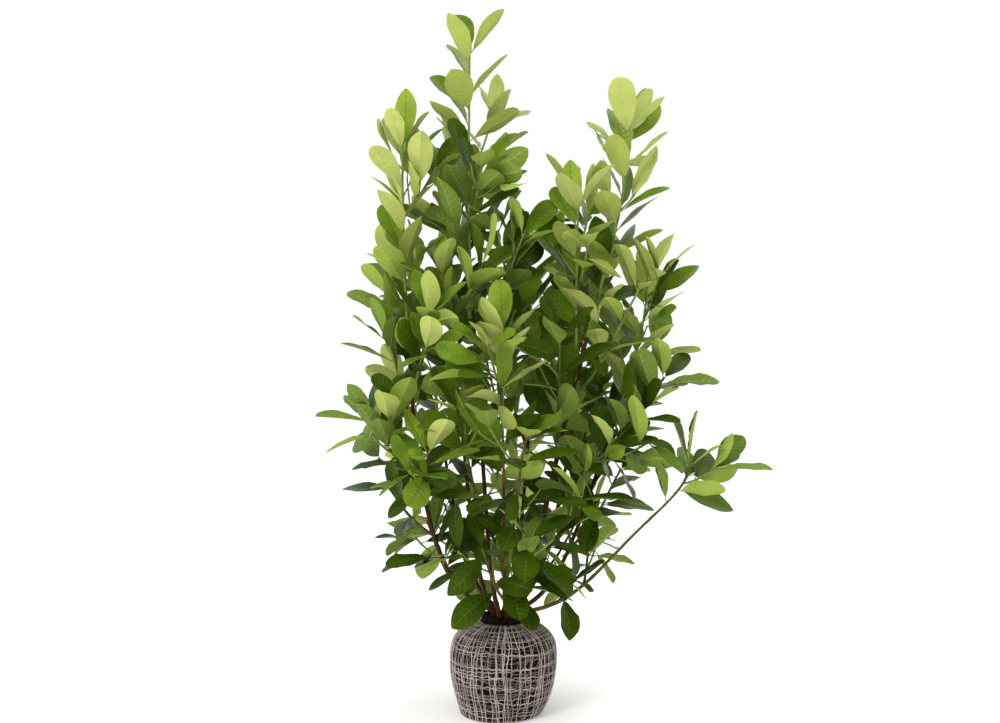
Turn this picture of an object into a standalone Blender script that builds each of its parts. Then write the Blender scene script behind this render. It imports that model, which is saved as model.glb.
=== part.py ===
"""Cherry laurel shrub on a netted root ball, as it is sold for planting a hedge.

Metres, +Z up. The origin is the centre of the ball's flat underside, and the side that the
photograph shows faces -Y. A bearing is an angle in plan, in degrees, from +X towards +Y:
0 is the photograph's right, 180 its left, 270 faces the viewer and 90 is the back.

Ten stems stand on the soil inside a rolled hessian collar. Leafy shoots leave them. Each shoot is
one mass of foliage: a leading twig, with side twigs and leaves fused on. A leaf or twig that would
touch a limb, or anything of another mass, is turned a little, and skipped where that doesn't help.
"""

import math
import random
from collections import namedtuple

import bmesh
import bpy
from mathutils import Matrix, Vector
from mathutils.bvhtree import BVHTree

# Root ball: a turned body with round shoulders and a flat top and underside.
BALL_RADIUS = 0.1225
BALL_WIDEST_AT = 0.125
BALL_FOOT_RADIUS = 0.088
BALL_CROWN = 0.2125
SOIL_HEIGHT = 0.2085
SHOULDER_ROUNDNESS = 2.6
FOOT_ROUNDNESS = 2.2
BALL_SIDES = 24
BALL_RINGS = 6

# Hessian collar: the rolled edge of the cloth round the foot of the stems.
COLLAR_RADIUS = 0.0445
COLLAR_THICKNESS = 0.014
COLLAR_HEIGHT = 0.018
COLLAR_SIDES = 16
COLLAR_SECTION_SIDES = 8

# Stems. The knee and the neck steer the curve from the foot to the tip.
FOOT_RING = 0.0255
UPRIGHT = 0.022
STEM_SIDES = 6
STEM_RINGS = 9
STEM_TAPER = 0.8
KNEE_RISE = 0.12
NECK_RISE = 0.50
NECK_REACH = 0.12
FLARE = 0.30
FLARE_HEIGHT = 0.012
GAP = 0.0003

# Twigs. A leading twig leaves its stem outwards and turns up, and a side twig leaves it at about
# 45 degrees and turns up at its knee.
TWIG_SIDES = 3
TWIG_RADIUS = 0.0034
TWIG_TIP_RADIUS = 0.0023
TWIG_TAPER = 0.7
TWIG_RINGS = 4
RING_EVERY = 0.16
TWIG_CLIMB = 0.55
TWIG_TURN_UP = 0.3
END_OUTWARD = 0.45
END_UPWARD = 0.75
BARE_ABOVE_FOOT = 0.05
LOWEST_SIDE_TWIG = 0.17
HIGHEST_SIDE_TWIG = 0.72
SIDE_TWIG_SHARE = (0.30, 0.42)
SIDE_TWIG_LENGTH = (0.09, 0.20)
SIDE_TWIG_SPLAY = (0.80, 1.15)
SIDE_TWIG_KNEE = 0.45
SIDE_TWIG_TURN_UP = 0.5
SIDE_TWIG_GIRTH = 0.92
SIDE_TWIG_BARE = 0.35
TWIG_ROOM = 0.0025
SEAT_FROM = 0.03
SEAT_SAMPLES = 8
SEAT_STEPS = 30
SWAY = 0.006

# Leaves. They stand up high in the crown and hang low in it. Angles are in degrees.
INTERNODE = 0.0345
INTERNODE_SPREAD = (0.8, 1.2)
TIP_LEAF_SIZES = (0.92, 0.80)
LAST_SIDE_LEAF = 0.012
TIP_LEAF_FROM_END = 0.006
LEAF_LENGTH = 0.131
LEAF_LENGTH_SPREAD = (0.86, 1.08)
LEAF_WIDTH = 0.50
LEAF_THICKNESS = 0.0022
LEAF_FOLD = 0.22
LEAF_SHOULDER = (0.36, 0.88)
LEAF_BROADEST = (0.76, 0.90)
RIDGE_AT = 0.34
LOW_CROWN = 0.25
HIGH_CROWN = 0.88
LOW_ANGLE = 74
HIGH_ANGLE = 46
TIP_ANGLE = 16
TIP_STARTS = 0.8
SWING = 8
TURN_SWING = 12
DROOP = 0.42
DROOP_SPREAD = (0.5, 1.3)
FACE_RISE = 0.25
FACE_RISE_LOW_DOWN = 0.6
ROLL = 34
BEND = (0.02, 0.12)
BEND_LOW_DOWN = 0.10
SWING_PER_TRY = 9
SHRINK_PER_TRY = 0.035
CLEARANCE = 0.0008
BLADE_FROM = 0.14
TRIES = 9
GOLDEN_ANGLE = math.radians(137.5)
THIRD_OF_TURN = 2 * math.pi / 3

LEAF_COLOUR = (0.115, 0.225, 0.028, 1.0)
BARK_COLOUR = (0.115, 0.052, 0.030, 1.0)
SOIL_COLOUR = (0.105, 0.090, 0.080, 1.0)
HESSIAN_COLOUR = (0.030, 0.019, 0.014, 1.0)

# A stem ends at a bearing, a reach from the plant's axis and a height. Its spread is the share
# of that reach it has gained low down, before it turns upright. Its foot has its own bearing.
Stem = namedtuple("Stem", "name bearing reach height spread radius tip_radius foot_bearing")
STEMS = (
    Stem("stem_right", 354, 0.190, 0.860, 0.40, 0.0090, 0.0042, None),
    Stem("stem_left", 188, 0.215, 0.860, 0.80, 0.0062, 0.0036, 205),
    Stem("stem_centre", 160, 0.075, 0.920, 0.50, 0.0062, 0.0038, 245),
    Stem("stem_inner_left", 135, 0.160, 0.790, 0.60, 0.0060, 0.0036, 165),
    Stem("stem_low_right", 349, 0.335, 0.455, 0.50, 0.0054, 0.0030, 325),
    Stem("stem_outer_right", 6, 0.255, 0.660, 0.55, 0.0060, 0.0034, 5),
    Stem("stem_back_centre", 66, 0.165, 0.700, 0.55, 0.0060, 0.0034, 85),
    Stem("stem_front", 270, 0.130, 0.540, 0.60, 0.0056, 0.0032, 285),
    Stem("stem_back_right", 46, 0.245, 0.640, 0.60, 0.0058, 0.0034, 45),
    Stem("stem_back_left", 131, 0.235, 0.640, 0.60, 0.0058, 0.0034, 125),
)
MAIN_STEM_FOOT = (0.004, -0.002)

# A mass leaves its stem at a share of the stem's length, 1 being the tip. Its leading twig ends
# at a bearing, a reach and a height, is bare for a share of its length, and carries side twigs.
# Its leaves rise more where lift is above 0 and hang more where it is below.
Mass = namedtuple("Mass", "name stem at bearing reach height bare twigs seed lift", defaults=(0.0,))
MASSES = (
    Mass("leader_centre", "stem_centre", 1, 165, 0.079, 1.490, 0.06, 2, 70),
    Mass("leader_left", "stem_left", 1, 187, 0.226, 1.272, 0.08, 1, 61),
    Mass("leader_right", "stem_right", 1, 351, 0.280, 1.310, 0.06, 1, 67),
    Mass("leader_inner", "stem_inner_left", 1, 143, 0.145, 1.270, 0.10, 1, 14),
    Mass("outer_right_tip", "stem_outer_right", 1, 2, 0.325, 0.985, 0.06, 2, 64),
    Mass("back_centre_tip", "stem_back_centre", 1, 67, 0.141, 1.060, 0.06, 2, 16),
    Mass("front_tip", "stem_front", 1, 267, 0.165, 0.860, 0.06, 2, 17),
    Mass("low_right_tip", "stem_low_right", 1, 352, 0.415, 0.570, 0.30, 1, 65, 0.5),
    Mass("back_right_tip", "stem_back_right", 1, 40, 0.245, 0.990, 0.06, 2, 19),
    Mass("back_left_tip", "stem_back_left", 1, 126, 0.235, 1.010, 0.06, 2, 20),
    Mass("right_second", "stem_right", 0.90, 335, 0.180, 1.140, 0.15, 2, 63),
    Mass("right_front_low", "stem_right", 0.42, 323, 0.220, 0.500, 0.22, 1, 21),
    Mass("right_arm", "stem_right", 0.62, 353, 0.360, 0.765, 0.25, 1, 22),
    Mass("right_front_high", "stem_right", 0.72, 308, 0.195, 0.850, 0.20, 1, 23),
    Mass("right_shoulder", "stem_right", 0.86, 347, 0.305, 0.960, 0.20, 1, 24),
    Mass("left_low", "stem_left", 0.50, 190, 0.260, 0.520, 0.20, 0, 25),
    Mass("left_arm", "stem_left", 0.66, 188, 0.300, 0.675, 0.30, 1, 66, 0.1),
    Mass("left_mid", "stem_left", 0.80, 192, 0.265, 0.850, 0.20, 0, 27),
    Mass("left_high", "stem_left", 0.95, 174, 0.270, 0.975, 0.25, 0, 28),
    Mass("left_foot", "stem_left", 0.28, 205, 0.160, 0.370, 0.20, 0, 29, 0.4),
    Mass("left_foot_back", "stem_left", 0.35, 167, 0.180, 0.430, 0.20, 1, 30, 0.2),
    Mass("left_front_mid", "stem_left", 0.60, 224, 0.225, 0.610, 0.20, 1, 31),
    Mass("left_front_high", "stem_left", 0.87, 222, 0.215, 0.905, 0.20, 1, 32),
    Mass("centre_left_front", "stem_centre", 0.50, 234, 0.170, 0.700, 0.25, 1, 33),
    Mass("centre_left_high", "stem_centre", 0.80, 209, 0.155, 0.990, 0.20, 1, 34),
    Mass("centre_right_high", "stem_centre", 0.92, 304, 0.080, 1.080, 0.15, 1, 35),
    Mass("centre_front", "stem_front", 0.60, 284, 0.200, 0.650, 0.20, 1, 36),
    Mass("front_low_left", "stem_front", 0.35, 252, 0.150, 0.400, 0.20, 1, 37, 0.3),
    Mass("front_low_right", "stem_front", 0.42, 288, 0.180, 0.430, 0.20, 1, 38, 0.3),
    Mass("front_foot", "stem_front", 0.24, 300, 0.120, 0.345, 0.30, 0, 39, 0.3),
    Mass("right_foot", "stem_low_right", 0.35, 340, 0.165, 0.320, 0.20, 1, 40, 0.2),
    Mass("right_foot_back", "stem_low_right", 0.55, 10, 0.200, 0.390, 0.20, 1, 41),
    Mass("right_low", "stem_outer_right", 0.55, 351, 0.265, 0.560, 0.20, 1, 42),
    Mass("right_back_arm", "stem_outer_right", 0.80, 8, 0.350, 0.830, 0.20, 1, 43),
    Mass("right_back_low", "stem_back_right", 0.35, 34, 0.240, 0.470, 0.20, 1, 44),
    Mass("back_right_side", "stem_back_right", 0.70, 46, 0.345, 0.745, 0.20, 1, 45),
    Mass("back_centre_low", "stem_back_centre", 0.50, 83, 0.265, 0.540, 0.20, 1, 46),
    Mass("back_centre_high", "stem_back_centre", 0.85, 92, 0.270, 0.860, 0.20, 1, 47),
    Mass("back_left_side", "stem_back_left", 0.70, 139, 0.310, 0.720, 0.20, 1, 48),
    Mass("back_left_low", "stem_back_left", 0.40, 122, 0.270, 0.440, 0.20, 1, 49),
    Mass("back_foot", "stem_back_centre", 0.20, 92, 0.160, 0.350, 0.20, 1, 50, 0.3),
)

Limb = namedtuple("Limb", "points radii headings sides")
Leaf = namedtuple("Leaf", "matrix length bend")
Grown = namedtuple("Grown", "mass twigs leaves")


def in_plan(bearing, reach, height):
    """The point at a bearing and a reach from the plant's axis, at a height."""
    angle = math.radians(bearing)
    return Vector((reach * math.cos(angle), reach * math.sin(angle), height))


def mix(a, b, share):
    return a + (b - a) * share


def cubic(p0, p1, p2, p3, count):
    """Points along the cubic curve that leaves p0 towards p1 and reaches p3 from p2."""
    points = []
    for i in range(count):
        t = i / (count - 1)
        s = 1 - t
        points.append(p0 * s**3 + p1 * (3 * s * s * t) + p2 * (3 * s * t * t) + p3 * t**3)
    return points


def side_of(heading):
    """A direction square to a heading, level unless the heading is upright."""
    upright = abs(heading.z) > 0.95
    return heading.cross(Vector((0, 1, 0)) if upright else Vector((0, 0, 1))).normalized()


def limb_along(points, radii, first_heading=None):
    """A limb with a heading and a side direction at each of its points. The sides don't twist round it.

    Its first end is square to the first heading, where one is given.
    """
    last = len(points) - 1
    headings = []
    for i, point in enumerate(points):
        before = (point - points[max(i - 1, 0)]).normalized()
        after = (points[min(i + 1, last)] - point).normalized()
        headings.append((before + after).normalized())
    headings[0] = first_heading or headings[0]
    sides = [side_of(headings[0])]
    for before, after in zip(headings, headings[1:]):
        sides.append((before.rotation_difference(after) @ sides[-1]).normalized())
    return Limb(points, radii, headings, sides)


def along(limb, share):
    """The point, the direction, the side and the radius at a share of a limb's length."""
    place = min(max(share, 0.0), 1.0) * (len(limb.points) - 1)
    i = min(int(place), len(limb.points) - 2)
    part = place - i
    step = limb.points[i + 1] - limb.points[i]
    direction = step.normalized()
    side = limb.sides[i].lerp(limb.sides[i + 1], part)
    side = (side - direction * side.dot(direction)).normalized()
    return limb.points[i] + step * part, direction, side, mix(limb.radii[i], limb.radii[i + 1], part)


def length_of(limb):
    return sum((b - a).length for a, b in zip(limb.points, limb.points[1:]))


def turned_about(direction, side, angle):
    return Matrix.Rotation(angle, 3, direction) @ side


def tube(limb, sides, extra=0.0):
    """The corners and faces of a closed tube along a limb."""
    corners, faces = [], []
    last = len(limb.points) - 1
    for point, radius, heading, side in zip(*limb):
        for k in range(sides):
            corners.append(point + turned_about(heading, side, 2 * math.pi * k / sides) * (radius + extra))
    for i in range(last):
        for k in range(sides):
            a, b = i * sides + k, i * sides + (k + 1) % sides
            faces.append((a, b, b + sides, a + sides))
    faces.append(tuple(reversed(range(sides))))
    faces.append(tuple(range(last * sides, (last + 1) * sides)))
    return corners, faces


def leaf_solid(leaf, start=0.0, extra=0.0):
    """The corners and faces of a leaf: a six-cornered outline with a ridge above and below its midrib.

    It is pointed at its root, which lies on its twig's axis. It arches by bend times its length at
    the tip, and its halves rise from the midrib. Start cuts its root off, and extra thickens it.
    """
    length = leaf.length

    def place(share, sideways, height):
        half = sideways * LEAF_WIDTH * length / 2
        half += math.copysign(extra, half) if half else 0.0
        rise = LEAF_FOLD * abs(half) - leaf.bend * length * share**2 + height
        return leaf.matrix @ Vector((share * length, half, rise))

    ridge = LEAF_THICKNESS / 2 + extra
    corners = [
        place(start, 0, 0),
        place(LEAF_SHOULDER[0], LEAF_SHOULDER[1], 0),
        place(LEAF_BROADEST[0], LEAF_BROADEST[1], 0),
        place(1 + extra / length, 0, 0),
        place(LEAF_BROADEST[0], -LEAF_BROADEST[1], 0),
        place(LEAF_SHOULDER[0], -LEAF_SHOULDER[1], 0),
        place(RIDGE_AT, 0, ridge),
        place(RIDGE_AT, 0, -ridge),
    ]
    upper = [(i, (i + 1) % 6, 6) for i in range(6)]
    lower = [((i + 1) % 6, i, 7) for i in range(6)]
    return corners, upper + lower


class Thing:
    """A grown shape, with a sphere round it. Its blade is the shape without the root in its twig."""

    def __init__(self, owner, shape, blade=None):
        corners = shape[0]
        self.owner = owner
        self.centre = sum(corners, Vector()) / len(corners)
        self.radius = max((corner - self.centre).length for corner in corners)
        self.whole = BVHTree.FromPolygons(*shape)
        self.blade = BVHTree.FromPolygons(*blade) if blade else self.whole


class Space:
    """What has grown so far."""

    def __init__(self):
        self.things = []

    def is_clear(self, thing, ignored=()):
        """Whether a thing touches nothing, its own mass being tested by the blades alone."""
        for other in self.things:
            if other.owner in ignored or (thing.centre - other.centre).length > thing.radius + other.radius:
                continue
            if thing.owner == other.owner:
                touching = thing.blade.overlap(other.blade)
            else:
                touching = thing.whole.overlap(other.whole)
            if touching:
                return False
        return True


def ball_profile():
    """Radius and height of the ball's outline, from its foot to its flat top."""
    outline = [(BALL_FOOT_RADIUS, 0.0)]
    for i in range(1, BALL_RINGS):
        u = 1 - i / BALL_RINGS
        radius = BALL_RADIUS - (BALL_RADIUS - BALL_FOOT_RADIUS) * u**FOOT_ROUNDNESS
        outline.append((radius, BALL_WIDEST_AT * (1 - u)))
    steps = BALL_RINGS + 2
    top_share = (SOIL_HEIGHT - BALL_WIDEST_AT) / (BALL_CROWN - BALL_WIDEST_AT)
    top_angle = math.asin(top_share ** (SHOULDER_ROUNDNESS / 2))
    for i in range(steps + 1):
        angle = top_angle * i / steps
        across, up = math.cos(angle) ** (2 / SHOULDER_ROUNDNESS), math.sin(angle) ** (2 / SHOULDER_ROUNDNESS)
        outline.append((BALL_RADIUS * across, BALL_WIDEST_AT + (BALL_CROWN - BALL_WIDEST_AT) * up))
    return outline


def collar_profile():
    """Radius and height round the section of the rolled cloth, which is flat where it lies on the soil."""
    outline = []
    half_step = math.pi / COLLAR_SECTION_SIDES
    for i in range(COLLAR_SECTION_SIDES):
        angle = (2 * i + 1) * half_step - math.pi / 2
        radius = COLLAR_RADIUS + COLLAR_THICKNESS / 2 * math.cos(angle)
        rise = COLLAR_HEIGHT / 2 * (1 + math.sin(angle) / math.cos(half_step))
        outline.append((radius, SOIL_HEIGHT + GAP + rise))
    return outline


def turned(profile, sides, ring):
    """The corners and faces of a profile turned about Z.

    A ring's profile is closed. Any other starts and ends at a flat face.
    """
    corners, faces = [], []
    count = len(profile)
    for k in range(sides):
        turn = 2 * math.pi * k / sides
        corners += [Vector((r * math.cos(turn), r * math.sin(turn), z)) for r, z in profile]
    for k in range(sides):
        here, there = k * count, (k + 1) % sides * count
        for i in range(count if ring else count - 1):
            j = (i + 1) % count
            faces.append((here + i, there + i, there + j, here + j))
    if not ring:
        faces.append(tuple(k * count for k in reversed(range(sides))))
        faces.append(tuple(k * count + count - 1 for k in range(sides)))
    return corners, faces


def grow_stem(stem):
    """A stem leaves the soil upright, spreads low down and then turns up to its tip."""
    if stem.foot_bearing is None:
        foot = Vector((*MAIN_STEM_FOOT, SOIL_HEIGHT + GAP))
    else:
        foot = in_plan(stem.foot_bearing, FOOT_RING, SOIL_HEIGHT + GAP)
    tip = in_plan(stem.bearing, stem.reach, stem.height)
    rise = stem.height - SOIL_HEIGHT
    knee = in_plan(stem.bearing, stem.reach * stem.spread, SOIL_HEIGHT + KNEE_RISE * rise)
    neck = in_plan(stem.bearing, stem.reach * (stem.spread + NECK_REACH), SOIL_HEIGHT + NECK_RISE * rise)
    root = foot + Vector((0, 0, UPRIGHT))
    points = [foot, *cubic(root, knee, neck, tip, STEM_RINGS)]
    radii = []
    for i, point in enumerate(points):
        radius = mix(stem.radius, stem.tip_radius, (i / (len(points) - 1)) ** STEM_TAPER)
        radii.append(radius * (1 + FLARE * math.exp(-(point.z - foot.z) / FLARE_HEIGHT)))
    return limb_along(points, radii)


def seated(point, heading, stem_tree):
    """Where a twig starts on the line from a point along a heading, so that it just clears its stem.

    The gap is measured from points along the edges of the twig's end face.
    """
    side = side_of(heading)
    corners = [turned_about(heading, side, k * THIRD_OF_TURN) * TWIG_RADIUS for k in range(TWIG_SIDES)]
    samples = [Vector()]
    for a, b in zip(corners, corners[1:] + corners[:1]):
        samples += [a.lerp(b, i / SEAT_SAMPLES) for i in range(SEAT_SAMPLES)]
    out = SEAT_FROM
    for _ in range(SEAT_STEPS):
        out -= min(stem_tree.find_nearest(point + heading * out + sample)[3] for sample in samples) - GAP
    return point + heading * out


def leading_twig(mass, stems, sway):
    """The twig that a mass grows from. It starts 0.3 mm clear of its stem and curves up to its tip.

    Sway is a vector that its middle is moved by, to pass what stands in its way.
    """
    point, direction, _, radius = along(stems[mass.stem], mass.at)
    tip = in_plan(mass.bearing, mass.reach, mass.height)
    if mass.at == 1:
        start = point + direction * GAP
        heading = direction
        turn_up = Vector((0, 0, 1))
        first_radius = radius
    else:
        level = Vector((tip.x - point.x, tip.y - point.y, 0))
        heading = (level + Vector((0, 0, tip.z - point.z)) * TWIG_CLIMB).normalized()
        start = seated(point, heading, BVHTree.FromPolygons(*tube(stems[mass.stem], STEM_SIDES)))
        turn_up = level.normalized() * END_OUTWARD + Vector((0, 0, END_UPWARD))
        first_radius = TWIG_RADIUS
    reach = (tip - start).length
    middle = start + heading * reach / 3 + sway
    late = tip - turn_up * TWIG_TURN_UP * reach + sway
    points = cubic(start, middle, late, tip, TWIG_RINGS + round(reach / RING_EVERY))
    last = len(points) - 1
    radii = [mix(first_radius, TWIG_TIP_RADIUS, (i / last) ** TWIG_TAPER) for i in range(last + 1)]
    return limb_along(points, radii, heading)


def side_twig(parent, share, turn, rng):
    """A short twig that leaves its parent's axis at about 45 degrees and curves upwards."""
    point, direction, side, radius = along(parent, share)
    outward = turned_about(direction, side, turn)
    length = length_of(parent) * rng.uniform(*SIDE_TWIG_SHARE)
    length = min(max(length, SIDE_TWIG_LENGTH[0]), SIDE_TWIG_LENGTH[1])
    heading = (direction + outward * rng.uniform(*SIDE_TWIG_SPLAY)).normalized()
    knee = point + heading * length * SIDE_TWIG_KNEE
    turn_up = (heading + Vector((0, 0, SIDE_TWIG_TURN_UP))).normalized()
    tip = knee + turn_up * length * (1 - SIDE_TWIG_KNEE)
    points = cubic(point, mix(point, knee, 0.7), mix(knee, tip, 0.3), tip, TWIG_RINGS)
    last = len(points) - 1
    first_radius = min(radius, TWIG_RADIUS) * SIDE_TWIG_GIRTH
    return limb_along(points, [mix(first_radius, TWIG_TIP_RADIUS, i / last) for i in range(last + 1)])


def leaf_places(twig, bare, rng):
    """Share of the twig, turn about it and size for each leaf, from the lowest to the tip.

    A leaf leaves the middle of one of the twig's three faces, and the next one a third of a turn on.
    """
    length = length_of(twig)
    places = []
    position = bare * length
    turn = THIRD_OF_TURN * (rng.randrange(TWIG_SIDES) + 0.5)
    while position < length - LAST_SIDE_LEAF:
        places.append((position / length, turn, 1.0))
        position += INTERNODE * rng.uniform(*INTERNODE_SPREAD)
        turn += THIRD_OF_TURN
    for size in TIP_LEAF_SIZES:
        places.append((1.0 - TIP_LEAF_FROM_END / length, turn, size))
        turn += THIRD_OF_TURN
    return places


def set_leaf(twig, share, turn, size, extra_lift, rng, effort):
    """A leaf at its place on a twig. Later tries, with more effort, turn it further from its first pose."""
    point, direction, side, _ = along(twig, share)
    lift = min(max((point.z - LOW_CROWN) / (HIGH_CROWN - LOW_CROWN) + extra_lift, 0.0), 1.0)
    low_down = 1 - lift
    at_tip = max(share - TIP_STARTS, 0.0) / (1 - TIP_STARTS)
    swing = SWING + SWING_PER_TRY * effort
    angle = math.radians(mix(LOW_ANGLE, HIGH_ANGLE, lift) - TIP_ANGLE * at_tip + rng.uniform(-swing, swing))
    turn += math.radians(rng.uniform(-TURN_SWING, TURN_SWING) * (1 + effort))
    outward = turned_about(direction, side, turn)
    heading = direction * math.cos(angle) + outward * math.sin(angle)
    heading = (heading - Vector((0, 0, DROOP)) * low_down * rng.uniform(*DROOP_SPREAD)).normalized()
    face = direction * (1 - FACE_RISE_LOW_DOWN * low_down)
    face = face + Vector((0, 0, FACE_RISE + FACE_RISE_LOW_DOWN * low_down))
    face = (face - heading * face.dot(heading)).normalized()
    roll = math.radians(rng.uniform(-ROLL, ROLL) + rng.uniform(-SWING_PER_TRY, SWING_PER_TRY) * effort)
    face = Matrix.Rotation(roll, 3, heading) @ face
    across = face.cross(heading)
    matrix = Matrix((heading, across, face)).transposed().to_4x4()
    matrix.translation = point
    length = LEAF_LENGTH * size * rng.uniform(*LEAF_LENGTH_SPREAD) * (1 - SHRINK_PER_TRY * effort)
    bend = rng.uniform(*BEND) + BEND_LOW_DOWN * low_down
    return Leaf(matrix, length, bend)


def twig_thing(mass, twig, extra=0.0):
    return Thing(mass.name, tube(twig, TWIG_SIDES, extra))


def leaf_thing(mass, leaf, extra=0.0):
    return Thing(mass.name, leaf_solid(leaf, 0.0, extra), leaf_solid(leaf, BLADE_FROM, extra))


def grow_twigs(mass, stems, space):
    """The leading twig of a mass and those side twigs that are clear of everything else."""
    rng = random.Random(mass.seed)
    for effort in range(TRIES):
        sway = in_plan(rng.uniform(0, 360), SWAY * effort, 0)
        lead = leading_twig(mass, stems, sway)
        if space.is_clear(twig_thing(mass, lead, TWIG_ROOM), ignored=(mass.stem,)):
            if space.is_clear(twig_thing(mass, lead)):
                break
    else:
        raise RuntimeError("no way for the leading twig of " + mass.name)
    twigs = [lead]
    turn = rng.uniform(0, 2 * math.pi)
    for number in range(mass.twigs):
        for _ in range(TRIES):
            lowest = max(mass.bare + BARE_ABOVE_FOOT, LOWEST_SIDE_TWIG)
            share = mix(lowest, HIGHEST_SIDE_TWIG, (number + rng.random()) / mass.twigs)
            twig = side_twig(lead, share, turn, rng)
            turn += GOLDEN_ANGLE
            if space.is_clear(twig_thing(mass, twig, TWIG_ROOM), ignored=(mass.name,)):
                twigs.append(twig)
                break
    space.things += [twig_thing(mass, twig) for twig in twigs]
    return twigs


def grow_leaves(mass, twigs, space):
    """Leaves along each twig of a mass, where they fit."""
    rng = random.Random(mass.seed * 7 + 1)
    leaves = []
    for number, twig in enumerate(twigs):
        bare = mass.bare if number == 0 else SIDE_TWIG_BARE
        for share, turn, size in leaf_places(twig, bare, rng):
            for effort in range(TRIES):
                leaf = set_leaf(twig, share, turn, size, mass.lift, rng, effort)
                if space.is_clear(leaf_thing(mass, leaf, CLEARANCE)):
                    leaves.append(leaf)
                    space.things.append(leaf_thing(mass, leaf))
                    break
    return leaves


def grow():
    """The stems, and each mass with its twigs and leaves. All twigs come before any leaf."""
    space = Space()
    space.things.append(Thing("ball", turned(ball_profile(), BALL_SIDES, False)))
    space.things.append(Thing("ball", turned(collar_profile(), COLLAR_SIDES, True)))
    stems = {stem.name: grow_stem(stem) for stem in STEMS}
    space.things += [Thing(name, tube(stem, STEM_SIDES)) for name, stem in stems.items()]
    twigs = {mass.name: grow_twigs(mass, stems, space) for mass in MASSES}
    masses = [Grown(mass, twigs[mass.name], grow_leaves(mass, twigs[mass.name], space)) for mass in MASSES]
    return stems, masses


def material(name, colour, roughness):
    made = bpy.data.materials.new(name)
    made.use_nodes = True
    shader = made.node_tree.nodes["Principled BSDF"]
    shader.inputs["Base Color"].default_value = colour
    shader.inputs["Roughness"].default_value = roughness
    shader.inputs["Metallic"].default_value = 0.0
    return made


def solid_object(name, corners, faces, finish, smooth=False):
    """A mesh object whose faces point outwards."""
    shape = bmesh.new()
    made = [shape.verts.new(corner) for corner in corners]
    for face in faces:
        shape.faces.new([made[i] for i in face])
    bmesh.ops.recalc_face_normals(shape, faces=shape.faces)
    mesh = bpy.data.meshes.new(name)
    shape.to_mesh(mesh)
    shape.free()
    mesh.materials.append(finish)
    if smooth:
        mesh.shade_smooth()
        mesh.set_sharp_from_angle(angle=math.radians(50))
    made_object = bpy.data.objects.new(name, mesh)
    bpy.context.scene.collection.objects.link(made_object)
    return made_object


def drop_scraps(mesh):
    """Keeps only the largest body of a fused mesh."""
    shape = bmesh.new()
    shape.from_mesh(mesh)
    shape.verts.ensure_lookup_table()
    waiting, bodies = set(shape.verts), []
    while waiting:
        body, edge = set(), [waiting.pop()]
        while edge:
            corner = edge.pop()
            body.add(corner)
            for link in corner.link_edges:
                other = link.other_vert(corner)
                if other in waiting:
                    waiting.discard(other)
                    edge.append(other)
        bodies.append(body)
    bodies.sort(key=len)
    scraps = [corner for body in bodies[:-1] for corner in body]
    bmesh.ops.delete(shape, geom=scraps, context="VERTS")
    shape.to_mesh(mesh)
    shape.free()


def fused_mass(grown, finish):
    """One solid: the leading twig, joined with its side twigs and leaves by one Boolean union."""
    name = "foliage_" + grown.mass.name
    lead, *side_twigs = grown.twigs
    body = solid_object(name, *tube(lead, TWIG_SIDES), finish)
    pieces = bpy.data.collections.new(name + "_pieces")
    bpy.context.scene.collection.children.link(pieces)
    shapes = [tube(twig, TWIG_SIDES) for twig in side_twigs] + [leaf_solid(leaf) for leaf in grown.leaves]
    for number, shape in enumerate(shapes):
        piece = solid_object(f"{name}_{number}", *shape, finish)
        bpy.context.scene.collection.objects.unlink(piece)
        pieces.objects.link(piece)
    union = body.modifiers.new("join", "BOOLEAN")
    union.operation = "UNION"
    union.operand_type = "COLLECTION"
    union.collection = pieces
    union.solver = "EXACT"
    bpy.context.view_layer.update()
    fused = bpy.data.meshes.new_from_object(body.evaluated_get(bpy.context.evaluated_depsgraph_get()))
    body.modifiers.clear()
    body.data = fused
    fused.name = name
    for piece in list(pieces.objects):
        bpy.data.objects.remove(piece)
    bpy.data.collections.remove(pieces)
    drop_scraps(fused)
    return body


def main():
    for old in list(bpy.data.objects):
        bpy.data.objects.remove(old)
    leaf_finish = material("laurel leaf", LEAF_COLOUR, 0.42)
    bark = material("laurel bark", BARK_COLOUR, 0.8)
    soil = material("netted soil", SOIL_COLOUR, 0.95)
    hessian = material("dark hessian", HESSIAN_COLOUR, 0.95)
    stems, masses = grow()
    solid_object("root_ball", *turned(ball_profile(), BALL_SIDES, False), soil, smooth=True)
    solid_object("hessian_collar", *turned(collar_profile(), COLLAR_SIDES, True), hessian, smooth=True)
    for name, stem in stems.items():
        solid_object(name, *tube(stem, STEM_SIDES), bark, smooth=True)
    for grown in masses:
        fused_mass(grown, leaf_finish)


if __name__ == "__main__":
    main()
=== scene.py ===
"""Looks of a cherry laurel shrub with a netted root ball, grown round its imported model.

Metres, +Z up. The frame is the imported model: ten stems, the masses of foliage that leave them, the
root ball and the hessian collar. The stems, twigs and leaves are grown here again by the rule that
the model's source uses, with the same seeds, so each mass keeps its place. Finer twigs and more
leaves then fill each mass within its own reach. Every surface is worked out as a grid of two
parameters or as a profile carried along a path.
"""
import functools
import math
import random
from collections import namedtuple

import bpy
import numpy as np
from bpy.props import FloatProperty, FloatVectorProperty, IntProperty, PointerProperty
from mathutils import Matrix, Vector
from mathutils.bvhtree import BVHTree


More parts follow.
